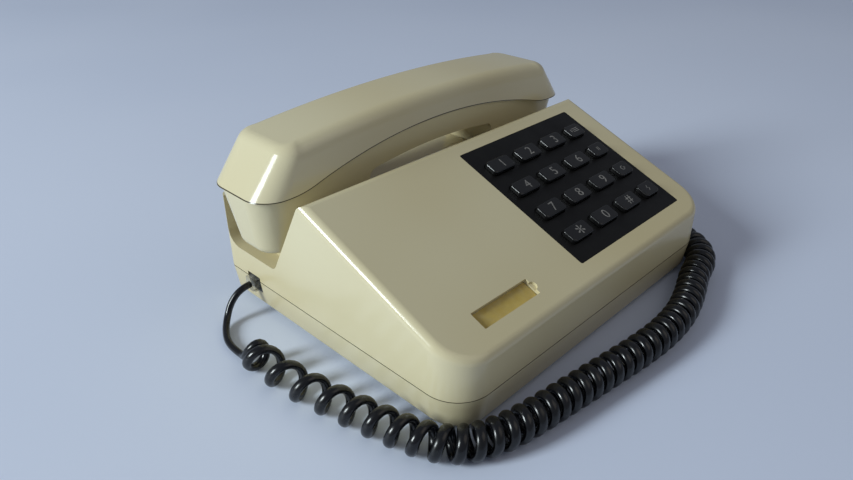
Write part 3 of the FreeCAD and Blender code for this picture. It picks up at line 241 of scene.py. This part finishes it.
material, tree, shader, coords = new_material("green_laminate")
tracks = tree.nodes.new("ShaderNodeTexBrick")
tracks.inputs["Scale"].default_value = 210.0
tracks.inputs["Color1"].default_value = tone(38, 92, 52)
tracks.inputs["Color2"].default_value = tone(46, 104, 58)
tracks.inputs["Mortar"].default_value = tone(92, 132, 70)
tracks.inputs["Mortar Size"].default_value = 0.06
tree.links.new(coords, tracks.inputs["Vector"])
tree.links.new(tracks.outputs["Color"], shader.inputs["Base Color"])
lacquer = noise(tree, coords, scale=90.0)
tree.links.new(spread(tree, lacquer, first=0.3, last=0.48), shader.inputs["Roughness"])
relief(tree, shader, tracks.outputs["Fac"], depth=0.00004, strength=0.5)
dress(material, "main_board", "keypad_board")


def moulded(name, light, dark, rough, grain_scale, grain_depth, gloss=0.5):
    """Plain moulded plastic or rubber with a faint mottle and a fine grain."""
    material, tree, shader, coords = new_material(name)
    mottle = noise(tree, coords, scale=85.0, detail=3.0)
    tree.links.new(shades(tree, mottle, [(0.35, light), (0.7, dark)]), shader.inputs["Base Color"])
    tree.links.new(spread(tree, mottle, first=rough, last=rough + 0.14), shader.inputs["Roughness"])
    shader.inputs["Specular IOR Level"].default_value = gloss
    grain = noise(tree, coords, scale=grain_scale, detail=1.0)
    relief(tree, shader, grain, depth=grain_depth, strength=0.3)
    return material


dress(moulded("black_package", light=tone(34, 34, 36), dark=tone(22, 22, 23),
              rough=0.42, grain_scale=1500.0, grain_depth=0.00004),
      "board_components", "hook_switch", "ringer", "receiver")
dress(moulded("grey_ribbon", light=tone(156, 158, 160), dark=tone(138, 139, 141),
              rough=0.4, grain_scale=1200.0, grain_depth=0.00003),
      "ribbon_cable")


# Keypad: a thin charcoal panel let into the slope, sixteen charcoal keys through it, a rubber mat below.
# All three are moulded. The panel is satin, and the keys are smoother, polished by fingers.

dress(moulded("panel_charcoal", light=tone(15, 14, 13), dark=tone(10, 9, 9),
              rough=0.34, grain_scale=1900.0, grain_depth=0.00003, gloss=0.22),
      "keypad_panel")
dress(moulded("mat_rubber", light=tone(44, 43, 43), dark=tone(34, 33, 33),
              rough=0.7, grain_scale=1500.0, grain_depth=0.00005),
      "key_mat")
key_plastic = moulded("key_charcoal", light=tone(18, 17, 17), dark=tone(12, 12, 12),
                      rough=0.14, grain_scale=2300.0, grain_depth=0.000005)

digit_keys = {f"key_{digit}": str(digit) for digit in range(10)}
sign_keys = {"key_star": "*", "key_hash": "#"}
function_keys = [f"key_function_{number}" for number in range(1, 5)]
dress(key_plastic, *digit_keys, *sign_keys, *function_keys)


# Key legends: digits and signs printed in pale grey on the key tops, a little right of the middle.
# The four narrow keys carry plain marks for memory, pause, redial and flash.

legend_height = 0.0076
star_height = 0.0128
legend_shift = 0.0010
ink_thickness = 0.00004
mark_line = 0.00042
key_slope = math.radians(21.77)

legend_ink, tree, shader, coords = new_material("legend_ink")
rubbed = noise(tree, coords, scale=620.0, detail=3.0)
ink = shades(tree, rubbed, [(0.3, tone(102, 100, 97)), (0.7, tone(136, 133, 128))])
tree.links.new(ink, shader.inputs["Base Color"])
tree.links.new(spread(tree, rubbed, first=0.42, last=0.6), shader.inputs["Roughness"])
lean = Matrix.Rotation(key_slope, 3, "X")


def middle(points):
    """Middle of the box round some points, across and along."""
    middle_x = (min(point.x for point in points) + max(point.x for point in points)) / 2.0
    middle_y = (min(point.y for point in points) + max(point.y for point in points)) / 2.0
    return middle_x, middle_y


def key_top(name):
    """Centre of a key's top face."""
    same_level = 0.0001
    flat = [lean.inverted() @ vertex.co for vertex in cad[name].data.vertices]
    top = max(point.z for point in flat)
    face = [point for point in flat if point.z > top - same_level]
    return lean @ Vector((*middle(face), top))


def show(name, mesh, material):
    """Put a finished mesh in the scene at the origin, with its material."""
    mesh.materials.clear()
    mesh.materials.append(material)
    piece = bpy.data.objects.new(name, mesh)
    bpy.context.scene.collection.objects.link(piece)
    return piece


def plain_mesh(name, piece):
    """Evaluated copy of an object as a plain mesh; the object itself goes."""
    bpy.context.view_layer.update()
    evaluated = piece.evaluated_get(bpy.context.evaluated_depsgraph_get())
    solid = bpy.data.meshes.new_from_object(evaluated)
    solid.name = name
    bpy.data.objects.remove(piece)
    return solid


def printed(name, text, height):
    """Raised print of a sign, centred on its own outline."""
    words = bpy.data.curves.new(name, "FONT")
    words.body = text
    words.size = height
    words.extrude = ink_thickness / 2.0
    words.resolution_u = 6
    holder = bpy.data.objects.new(name, words)
    bpy.context.scene.collection.objects.link(holder)
    mesh = plain_mesh(name, holder)
    middle_x, middle_y = middle([vertex.co.copy() for vertex in mesh.vertices])
    mesh.transform(Matrix.Translation((-middle_x, -middle_y, 0.0)))
    return mesh


def drawn(name, strokes):
    """Raised print of a mark, each stroke a line of points with the mark's width."""
    half = ink_thickness / 2.0
    mesh = bpy.data.meshes.new(name)
    build = bmesh.new()
    for stroke in strokes:
        path = [Vector((x, y, 0.0)) for x, y in stroke]
        rows = []
        for index, point in enumerate(path):
            ahead = path[min(index + 1, len(path) - 1)] - path[max(index - 1, 0)]
            side = Vector((-ahead.y, ahead.x, 0.0)).normalized() * mark_line / 2.0
            corners = ((side, -half), (side, half), (-side, half), (-side, -half))
            rows.append([build.verts.new(point + offset + Vector((0.0, 0.0, lift)))
                         for offset, lift in corners])
        for first, second in zip(rows, rows[1:]):
            for corner in range(4):
                following = (corner + 1) % 4
                build.faces.new((first[corner], first[following], second[following], second[corner]))
        build.faces.new(rows[0])
        build.faces.new(rows[-1])
    bmesh.ops.recalc_face_normals(build, faces=build.faces)
    build.to_mesh(mesh)
    build.free()
    return mesh


def ring(x, y, radius, start, turn, steps):
    """Points of an arc."""
    angles = [math.radians(start + turn * step / steps) for step in range(steps + 1)]
    return [(x + radius * math.cos(angle), y + radius * math.sin(angle)) for angle in angles]


memory_mark = [[(-0.0030, 0.0011), (-0.0030, -0.0011)], [(-0.0018, 0.0011), (0.0030, 0.0011)],
               [(-0.0018, 0.0), (0.0030, 0.0)], [(-0.0018, -0.0011), (0.0030, -0.0011)]]
pause_mark = [[(-0.0006, -0.0013), (-0.0006, 0.0013)], [(0.0006, -0.0013), (0.0006, 0.0013)]]
redial_mark = [ring(0.0, 0.0, radius=0.0013, start=60.0, turn=285.0, steps=18),
               [(0.0021, -0.0001), (0.00125, -0.00035), (0.0010, 0.0006)]]
flash_mark = [[(0.0004, 0.0017), (-0.0008, 0.0001), (0.0008, -0.0001), (-0.0004, -0.0017)]]
function_marks = dict(zip(function_keys, (memory_mark, pause_mark, redial_mark, flash_mark)))

legends = {}
for name, text in {**digit_keys, **sign_keys}.items():
    legends[name] = printed(f"legend_{name}", text, star_height if text == "*" else legend_height)
for name, strokes in function_marks.items():
    legends[name] = drawn(f"legend_{name}", strokes)
for name, mesh in legends.items():
    shift = Vector((0.0 if name in function_marks else legend_shift, 0.0, ink_thickness / 2.0))
    mesh.transform(Matrix.Translation(key_top(name) + lean @ shift) @ lean.to_4x4())
    legend = show(f"legend_{name}", mesh, legend_ink)
    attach(legend, f"{name}_body")


# Name card: a slip of yellowed paper under a thin clear cover, in a recess at the front left of the slope.
# The cover is acrylic, lifted out by the finger notch at its right end.

material, tree, shader, coords = new_material("card_paper")
fibres = noise(tree, coords, scale=420.0, detail=6.0)
stained = noise(tree, coords, scale=55.0, detail=3.0)
paper = shades(tree, stained, [(0.3, tone(198, 172, 82)), (0.7, tone(184, 156, 68))])
paper = mixed(tree, spread(tree, fibres, first=0.0, last=0.35), paper, tone(206, 184, 106))
tree.links.new(paper, shader.inputs["Base Color"])
tree.links.new(spread(tree, fibres, first=0.7, last=0.85), shader.inputs["Roughness"])
relief(tree, shader, fibres, depth=0.00004, strength=0.5)
dress(material, "name_card")


def clear_plastic(name, tint, body, rough):
    """Clear acrylic with faint scuffs; body is how much of the surface hides what lies under it."""
    material, tree, shader, coords = new_material(name)
    acrylic_index = 1.49
    scuffs = noise(tree, coords, scale=260.0, detail=5.0)
    scuffed = shades(tree, scuffs, [(0.3, tint), (0.8, tone(236, 234, 224))])
    tree.links.new(scuffed, shader.inputs["Base Color"])
    tree.links.new(spread(tree, scuffs, first=rough, last=rough + 0.08), shader.inputs["Roughness"])
    tree.links.new(spread(tree, scuffs, first=body, last=body + 0.06), shader.inputs["Alpha"])
    shader.inputs["IOR"].default_value = acrylic_index
    return material


dress(clear_plastic("cover_acrylic", tint=tone(228, 222, 200), body=0.03, rough=0.06), "name_cover")


# Sockets and plugs: black moulded sockets behind square holes in the shells, and clear plugs
# crimped on the cord. Thin gold-plated contacts stand in a row in each plug, and four
# slanting wires in the line socket.

contact_count = 4
contact_width = 0.00046
contact_pitch = 0.00102
contact_depth = 0.0042
contact_height = 0.0011
contact_blade = (contact_depth, contact_width, contact_height)
set_back_share = 0.75
sink_share = 0.62
wire_blade = (0.0066, 0.0004, 0.0004)
wire_inset = 0.0062
wire_rise = 0.0021
wire_slant = math.radians(-18.0)

dress(moulded("socket_black", light=tone(30, 30, 31), dark=tone(21, 21, 22),
              rough=0.34, grain_scale=1600.0, grain_depth=0.00003),
      "handset_socket", "line_socket", "handset_cord_socket")
dress(clear_plastic("plug_clear", tint=tone(96, 96, 90), body=0.30, rough=0.1),
      "cord_plug_base", "cord_plug_handset")
gold_plate = metal("gold_plate", bright=tone(226, 186, 96), dull=tone(196, 150, 70), patch_scale=300.0)


def contact_tree():
    """Row of like contact blades, as nodes: count, pitch and blade size are inputs."""
    tree = bpy.data.node_groups.new("contact_row", "GeometryNodeTree")
    sizes = {}
    for label, kind, value in (("Count", "NodeSocketInt", contact_count),
                               ("Pitch", "NodeSocketFloat", contact_pitch),
                               ("Blade", "NodeSocketVector", contact_blade),
                               ("Finish", "NodeSocketMaterial", None)):
        socket = tree.interface.new_socket(label, in_out="INPUT", socket_type=kind)
        sizes[label] = socket.identifier
        if value is not None:
            socket.default_value = value
    tree.interface.new_socket("Row", in_out="OUTPUT", socket_type="NodeSocketGeometry")
    given = tree.nodes.new("NodeGroupInput").outputs
    step = tree.nodes.new("ShaderNodeCombineXYZ")
    tree.links.new(given["Pitch"], step.inputs["Y"])
    places = tree.nodes.new("GeometryNodeMeshLine")
    tree.links.new(given["Count"], places.inputs["Count"])
    tree.links.new(step.outputs["Vector"], places.inputs["Offset"])
    blade = tree.nodes.new("GeometryNodeMeshCube")
    tree.links.new(given["Blade"], blade.inputs["Size"])
    for side in ("X", "Y", "Z"):
        blade.inputs[f"Vertices {side}"].default_value = 3
    copies = tree.nodes.new("GeometryNodeInstanceOnPoints")
    tree.links.new(places.outputs["Mesh"], copies.inputs["Points"])
    tree.links.new(blade.outputs["Mesh"], copies.inputs["Instance"])
    real = tree.nodes.new("GeometryNodeRealizeInstances")
    tree.links.new(copies.outputs["Instances"], real.inputs["Geometry"])
    painted = tree.nodes.new("GeometryNodeSetMaterial")
    tree.links.new(real.outputs["Geometry"], painted.inputs["Geometry"])
    tree.links.new(given["Finish"], painted.inputs["Material"])
    result = tree.nodes.new("NodeGroupOutput")
    tree.links.new(painted.outputs["Geometry"], result.inputs["Row"])
    return tree, sizes


contact_nodes, contact_inputs = contact_tree()


def contact_row(name, blade, place):
    """Blades in a row, made from the nodes and moved to their place."""
    holder = bpy.data.objects.new(name, bpy.data.meshes.new(name))
    bpy.context.scene.collection.objects.link(holder)
    modifier = holder.modifiers.new("contacts", "NODES")
    modifier.node_group = contact_nodes
    modifier[contact_inputs["Count"]] = contact_count
    modifier[contact_inputs["Pitch"]] = contact_pitch
    modifier[contact_inputs["Blade"]] = blade
    modifier[contact_inputs["Finish"]] = gold_plate
    mesh = plain_mesh(name, holder)
    mesh.transform(Matrix.Translation((0.0, -contact_pitch * (contact_count - 1) / 2.0, 0.0)))
    mesh.transform(place)
    return show(name, mesh, gold_plate)


def plug_contacts(name, node, body):
    """Four blades along the top of a plug's inner end."""
    low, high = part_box(node)
    inward = 1.0 if low.x < 0.0 else -1.0
    end = high.x if inward > 0.0 else low.x
    spot = Vector((end - inward * contact_depth * set_back_share,
                   (low.y + high.y) / 2.0,
                   high.z - contact_height * sink_share))
    row = contact_row(name, contact_blade, Matrix.Translation(spot))
    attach(row, body)


plug_contacts("plug_contacts_base", "cord_plug_base", "base")
plug_contacts("plug_contacts_handset", "cord_plug_handset", "handset")
low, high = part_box("line_socket")
wire_spot = Vector(((low.x + high.x) / 2.0, high.y - wire_inset, (low.z + high.z) / 2.0 + wire_rise))
wire_turn = Matrix.Rotation(math.radians(-90.0), 4, "Z") @ Matrix.Rotation(wire_slant, 4, "Y")
line_wires = contact_row("line_socket_wires", wire_blade, Matrix.Translation(wire_spot) @ wire_turn)
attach(line_wires, "base")


# Handset: an upper and a lower shell of the same ivory ABS, closed by two screws.
# Nothing darkens it towards the bottom, and a line of painted shadow runs only along the arched seam.

def off_arched_seam(tree, coords):
    """Distance from the lower edge of the handset's back, where a shadow line is painted.

    The edge is level at both ends, then a hollow blend, then an arch over the grip.
    """
    end_height = 0.0729
    top_height = 0.0864
    blend_radius = 0.051
    arch_radius = 0.290
    flat_from = 0.095
    arch_to = 0.0808
    place = tree.nodes.new("ShaderNodeSeparateXYZ")
    tree.links.new(coords, place.inputs["Vector"])
    reach = calc(tree, "ABSOLUTE", place.outputs["X"])
    drop = calc(tree, "SUBTRACT", arch_radius ** 2, calc(tree, "MULTIPLY", reach, reach))
    arch = calc(tree, "ADD", calc(tree, "SQRT", drop), top_height - arch_radius)
    short = calc(tree, "MAXIMUM", calc(tree, "SUBTRACT", flat_from, reach), 0.0)
    rise = calc(tree, "SUBTRACT", blend_radius ** 2, calc(tree, "MULTIPLY", short, short))
    end = calc(tree, "SUBTRACT", end_height + blend_radius, calc(tree, "SQRT", rise))
    at_end = calc(tree, "GREATER_THAN", reach, arch_to)
    seam = calc(tree, "ADD", arch, calc(tree, "MULTIPLY", calc(tree, "SUBTRACT", end, arch), at_end))
    return calc(tree, "ABSOLUTE", calc(tree, "SUBTRACT", place.outputs["Z"], seam))


dress(ivory_abs("ivory_abs_handset", off_seam=off_arched_seam, darker_low=False),
      "handset_upper_shell", "handset_lower_shell")


# Handset cord: flat black vinyl cord wound into springy curls, straight for a short way at each plug.
# It lies loose on the table round the left, front and right of the desk set; the curls stretch at the left.

cord_width = 0.0049
cord_thickness = 0.0037
lead_diameter = 0.0034
curl_radius = 0.0060
curl_floor = 0.0021
first_run = 0.0135
loose_curls = 9
tight_curls = 41
end_curls = 3
loose_pitch = 0.0174
loose_end_pitch = 0.0074
first_angle = math.radians(-26.0)
opening_turns = 0.55
closing_turns = 1.75
steps_per_turn = 24
section_points = 14
lead_step = 0.0018
side_reach = 0.003

base_lead = [(-0.1026, 0.0575, 0.0162), (-0.1078, 0.0577, 0.0160), (-0.1138, 0.0588, 0.0105),
             (-0.1185, 0.0572, 0.0030), (-0.1240, 0.0495, 0.0021), (-0.1278, 0.0410, 0.0021)]
curl_axis = [(-0.1284, 0.0305), (-0.1268, 0.015), (-0.1268, 0.001), (-0.1252, -0.014),
             (-0.1225, -0.027), (-0.1198, -0.040), (-0.1170, -0.052), (-0.1143, -0.063),
             (-0.1110, -0.073), (-0.1060, -0.082), (-0.0975, -0.0885), (-0.0860, -0.0930),
             (-0.0720, -0.0958), (-0.0520, -0.0984), (-0.0280, -0.1016), (-0.0040, -0.1047),
             (0.0160, -0.1060), (0.0360, -0.1045), (0.0550, -0.0995), (0.0730, -0.0926),
             (0.0865, -0.0900), (0.0960, -0.0852), (0.1029, -0.0779), (0.1066, -0.0690),
             (0.1078, -0.0580), (0.1080, -0.0380), (0.1088, -0.0120), (0.1103, 0.0160)]
handset_lead = [(0.1122, 0.0240, 0.0021), (0.1135, 0.0330, 0.0022), (0.1185, 0.0400, 0.0065),
                (0.1265, 0.0455, 0.0170), (0.1296, 0.0468, 0.0300), (0.1293, 0.0468, 0.0420),
                (0.1240, 0.0468, 0.0515), (0.1165, 0.0468, 0.0530), (0.1093, 0.0468, 0.0530)]


def smooth_line(name, stations):
    """Points along a smooth line that takes the stations as its control points."""
    curve = bpy.data.curves.new(name, "CURVE")
    curve.dimensions = "3D"
    curve.resolution_u = 18
    spline = curve.splines.new("NURBS")
    spline.points.add(len(stations) - 1)
    for point, station in zip(spline.points, stations):
        point.co = (*station, 1.0)
    spline.order_u = 3
    spline.use_endpoint_u = True
    holder = bpy.data.objects.new(name, curve)
    bpy.context.scene.collection.objects.link(holder)
    mesh = plain_mesh(name, holder)
    points = [vertex.co.copy() for vertex in mesh.vertices]
    bpy.data.meshes.remove(mesh)
    bpy.data.curves.remove(curve)
    return points


stations = base_lead + [(x, y, curl_floor) for x, y in curl_axis] + handset_lead
route = smooth_line("cord_route", stations)
marks = [0.0]
for before, after in zip(route, route[1:]):
    marks.append(marks[-1] + (after - before).length)


def on_route(distance):
    """Point of the route at a distance from its start."""
    distance = min(max(distance, 0.0), marks[-1])
    index = 0
    while index < len(marks) - 2 and marks[index + 1] < distance:
        index += 1
    share = (distance - marks[index]) / (marks[index + 1] - marks[index])
    return route[index].lerp(route[index + 1], share)


def nearest_mark(place):
    """Distance along the route of the point nearest to a place."""
    gaps = [(point - Vector(place)).length for point in route]
    return marks[gaps.index(min(gaps))]


curls_from = nearest_mark((*curl_axis[0], curl_floor))
curls_to = nearest_mark((*curl_axis[-1], curl_floor))
all_curls = 1 + loose_curls + tight_curls + end_curls


def loose_run(turns, curls):
    """Distance taken by the first turns of a loose stretch whose pitch shrinks over its curls."""
    rate = math.log(loose_end_pitch / loose_pitch) / curls
    return loose_pitch * (math.exp(rate * turns) - 1.0) / rate


loose_end = curls_from + first_run + loose_run(loose_curls, loose_curls)
tight_end = curls_to - loose_run(end_curls, end_curls)
tight_pitch = (tight_end - loose_end) / tight_curls


def curl_distance(turns):
    """Distance along the route after a number of curls; the first curl starts long and closes up."""
    loose_from = curls_from + first_run
    if turns < 1.0:
        return curls_from + first_run * (1.0 - (1.0 - turns) ** 3)
    if turns < 1.0 + loose_curls:
        return loose_from + loose_run(turns - 1.0, loose_curls)
    if turns > all_curls - end_curls:
        return curls_to - loose_run(all_curls - turns, end_curls)
    return loose_end + (turns - 1.0 - loose_curls) * tight_pitch


def curl_share(turns):
    """How far the curls have opened, eased from 0 on the straight leads to 1."""
    share = min(1.0, turns / opening_turns, (all_curls - turns) / closing_turns)
    share = max(share, 0.0)
    return share * share * (3.0 - 2.0 * share)


def curl_side(distance):
    """Level direction across the route, away from the desk set."""
    ahead = on_route(distance + side_reach) - on_route(distance - side_reach)
    return ahead.cross(Vector((0.0, 0.0, 1.0))).normalized()


cord_path = []
cord_out = []
cord_open = []


def add_station(distance, turns):
    """One section of the cord: its middle, the way out from the curl, and how far the curl is open."""
    angle = first_angle + 2.0 * math.pi * turns
    share = curl_share(turns)
    reach = curl_radius * share
    out = curl_side(distance) * math.cos(angle) + Vector((0.0, 0.0, 1.0)) * math.sin(angle)
    cord_path.append(on_route(distance) + out * reach + Vector((0.0, 0.0, reach)))
    cord_out.append(out)
    cord_open.append(share)


lead_steps = int(curls_from / lead_step)
for step in range(lead_steps):
    add_station(curls_from * step / lead_steps, 0.0)
for step in range(all_curls * steps_per_turn + 1):
    add_station(curl_distance(step / steps_per_turn), step / steps_per_turn)
tail = marks[-1] - curls_to
tail_steps = int(tail / lead_step)
for step in range(1, tail_steps + 1):
    add_station(curls_to + tail * step / tail_steps, all_curls)


def cord_mesh():
    """Tube along the cord's path: flat with round edges in the curls, round in the leads."""
    build = bmesh.new()
    rings = []
    for index, centre in enumerate(cord_path):
        ahead = cord_path[min(index + 1, len(cord_path) - 1)] - cord_path[max(index - 1, 0)]
        across = ahead.normalized().cross(cord_out[index]).normalized()
        out = across.cross(ahead.normalized()).normalized()
        half_width = (lead_diameter + (cord_width - lead_diameter) * cord_open[index]) / 2.0
        half_thick = (lead_diameter + (cord_thickness - lead_diameter) * cord_open[index]) / 2.0
        section = []
        for point in range(section_points):
            angle = 2.0 * math.pi * point / section_points
            sideways = across * (half_width * math.cos(angle))
            outwards = out * (half_thick * math.sin(angle))
            section.append(build.verts.new(centre + sideways + outwards))
        rings.append(section)
    for first, second in zip(rings, rings[1:]):
        for point in range(section_points):
            following = (point + 1) % section_points
            build.faces.new((first[point], first[following], second[following], second[point]))
    build.faces.new(rings[0])
    build.faces.new(rings[-1])
    bmesh.ops.recalc_face_normals(build, faces=build.faces)
    for face in build.faces:
        face.smooth = len(face.verts) == 4
    mesh = bpy.data.meshes.new("handset_cord")
    build.to_mesh(mesh)
    build.free()
    return mesh


material, tree, shader, coords = new_material("black_vinyl")
handled = noise(tree, coords, scale=130.0, detail=3.0)
vinyl = shades(tree, handled, [(0.35, tone(12, 13, 17)), (0.7, tone(7, 8, 10))])
tree.links.new(vinyl, shader.inputs["Base Color"])
tree.links.new(spread(tree, handled, first=0.18, last=0.30), shader.inputs["Roughness"])
relief(tree, shader, noise(tree, coords, scale=1500.0), depth=0.00003, strength=0.25)
cord = show("handset_cord", cord_mesh(), material)
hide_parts("cord_curls", "cord_lead_base", "cord_lead_handset")
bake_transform(cord)


# Stage: a plain pale floor, a large window-like lamp at the left, a weak fill and a pale sky.
# None of it belongs to the phone.

floor_size = 6.0
sky_colour = (0.80, 0.86, 1.0, 1.0)
sky_strength = 0.24

material, tree, shader, coords = new_material("pale_floor")
cloudy = noise(tree, coords, scale=1.6)
pale = shades(tree, cloudy, [(0.3, tone(214, 222, 240)), (0.7, tone(206, 215, 235))])
tree.links.new(pale, shader.inputs["Base Color"])
shader.inputs["Roughness"].default_value = 0.6
floor_mesh = bpy.data.meshes.new("floor")
edge = floor_size / 2.0
floor_corners = [(-edge, -edge, 0.0), (edge, -edge, 0.0), (edge, edge, 0.0), (-edge, edge, 0.0)]
floor_mesh.from_pydata(floor_corners, [], [(0, 1, 2, 3)])
floor = show("floor", floor_mesh, material)


def lamp(name, place, target, size, power, colour):
    """Rectangular soft lamp that faces a point."""
    light = bpy.data.lights.new(name, "AREA")
    light.shape = "RECTANGLE"
    light.size = size[0]
    light.size_y = size[1]
    light.energy = power
    light.color = colour
    holder = bpy.data.objects.new(name, light)
    holder.location = place
    holder.rotation_euler = (Vector(target) - Vector(place)).to_track_quat("-Z", "Y").to_euler()
    bpy.context.scene.collection.objects.link(holder)


lamp("window", place=(-2.3, 0.80, 1.26), target=(0.0, 0.0, 0.03),
     size=(0.7, 1.0), power=68.0, colour=(0.88, 0.97, 0.99))
lamp("fill", place=(0.4, -1.0, 1.3), target=(0.0, 0.0, 0.04),
     size=(1.2, 1.2), power=2.4, colour=(1.0, 0.90, 0.76))

world = bpy.data.worlds.new("pale_sky")
world.use_nodes = True
sky = world.node_tree.nodes["Background"]
sky.inputs["Color"].default_value = sky_colour
sky.inputs["Strength"].default_value = sky_strength
bpy.context.scene.world = world
bpy.context.scene.view_settings.view_transform = "Standard"


# Camera: where the photograph was taken from, above the front left corner.
# Its place, turns and lens come from a fit to the phone's outline.

camera_place = Vector((-0.2518, -0.2136, 0.21136))
camera_yaw = math.radians(45.407)
camera_pitch = math.radians(29.823)
camera_roll = math.radians(-0.157)
camera_lens = 29.83
camera_sensor = 36.0
camera_nearest = 0.01

camera_data = bpy.data.cameras.new("camera")
camera_data.sensor_width = camera_sensor
camera_data.lens = camera_lens
camera_data.clip_start = camera_nearest
camera = bpy.data.objects.new("camera", camera_data)
gaze = Vector((math.sin(camera_yaw) * math.cos(camera_pitch),
               math.cos(camera_yaw) * math.cos(camera_pitch),
               -math.sin(camera_pitch)))
aim = gaze.to_track_quat("-Z", "Y").to_matrix().to_4x4()
camera.matrix_world = Matrix.Translation(camera_place) @ aim @ Matrix.Rotation(camera_roll, 4, "Z")
bpy.context.scene.collection.objects.link(camera)
bpy.context.scene.camera = camera
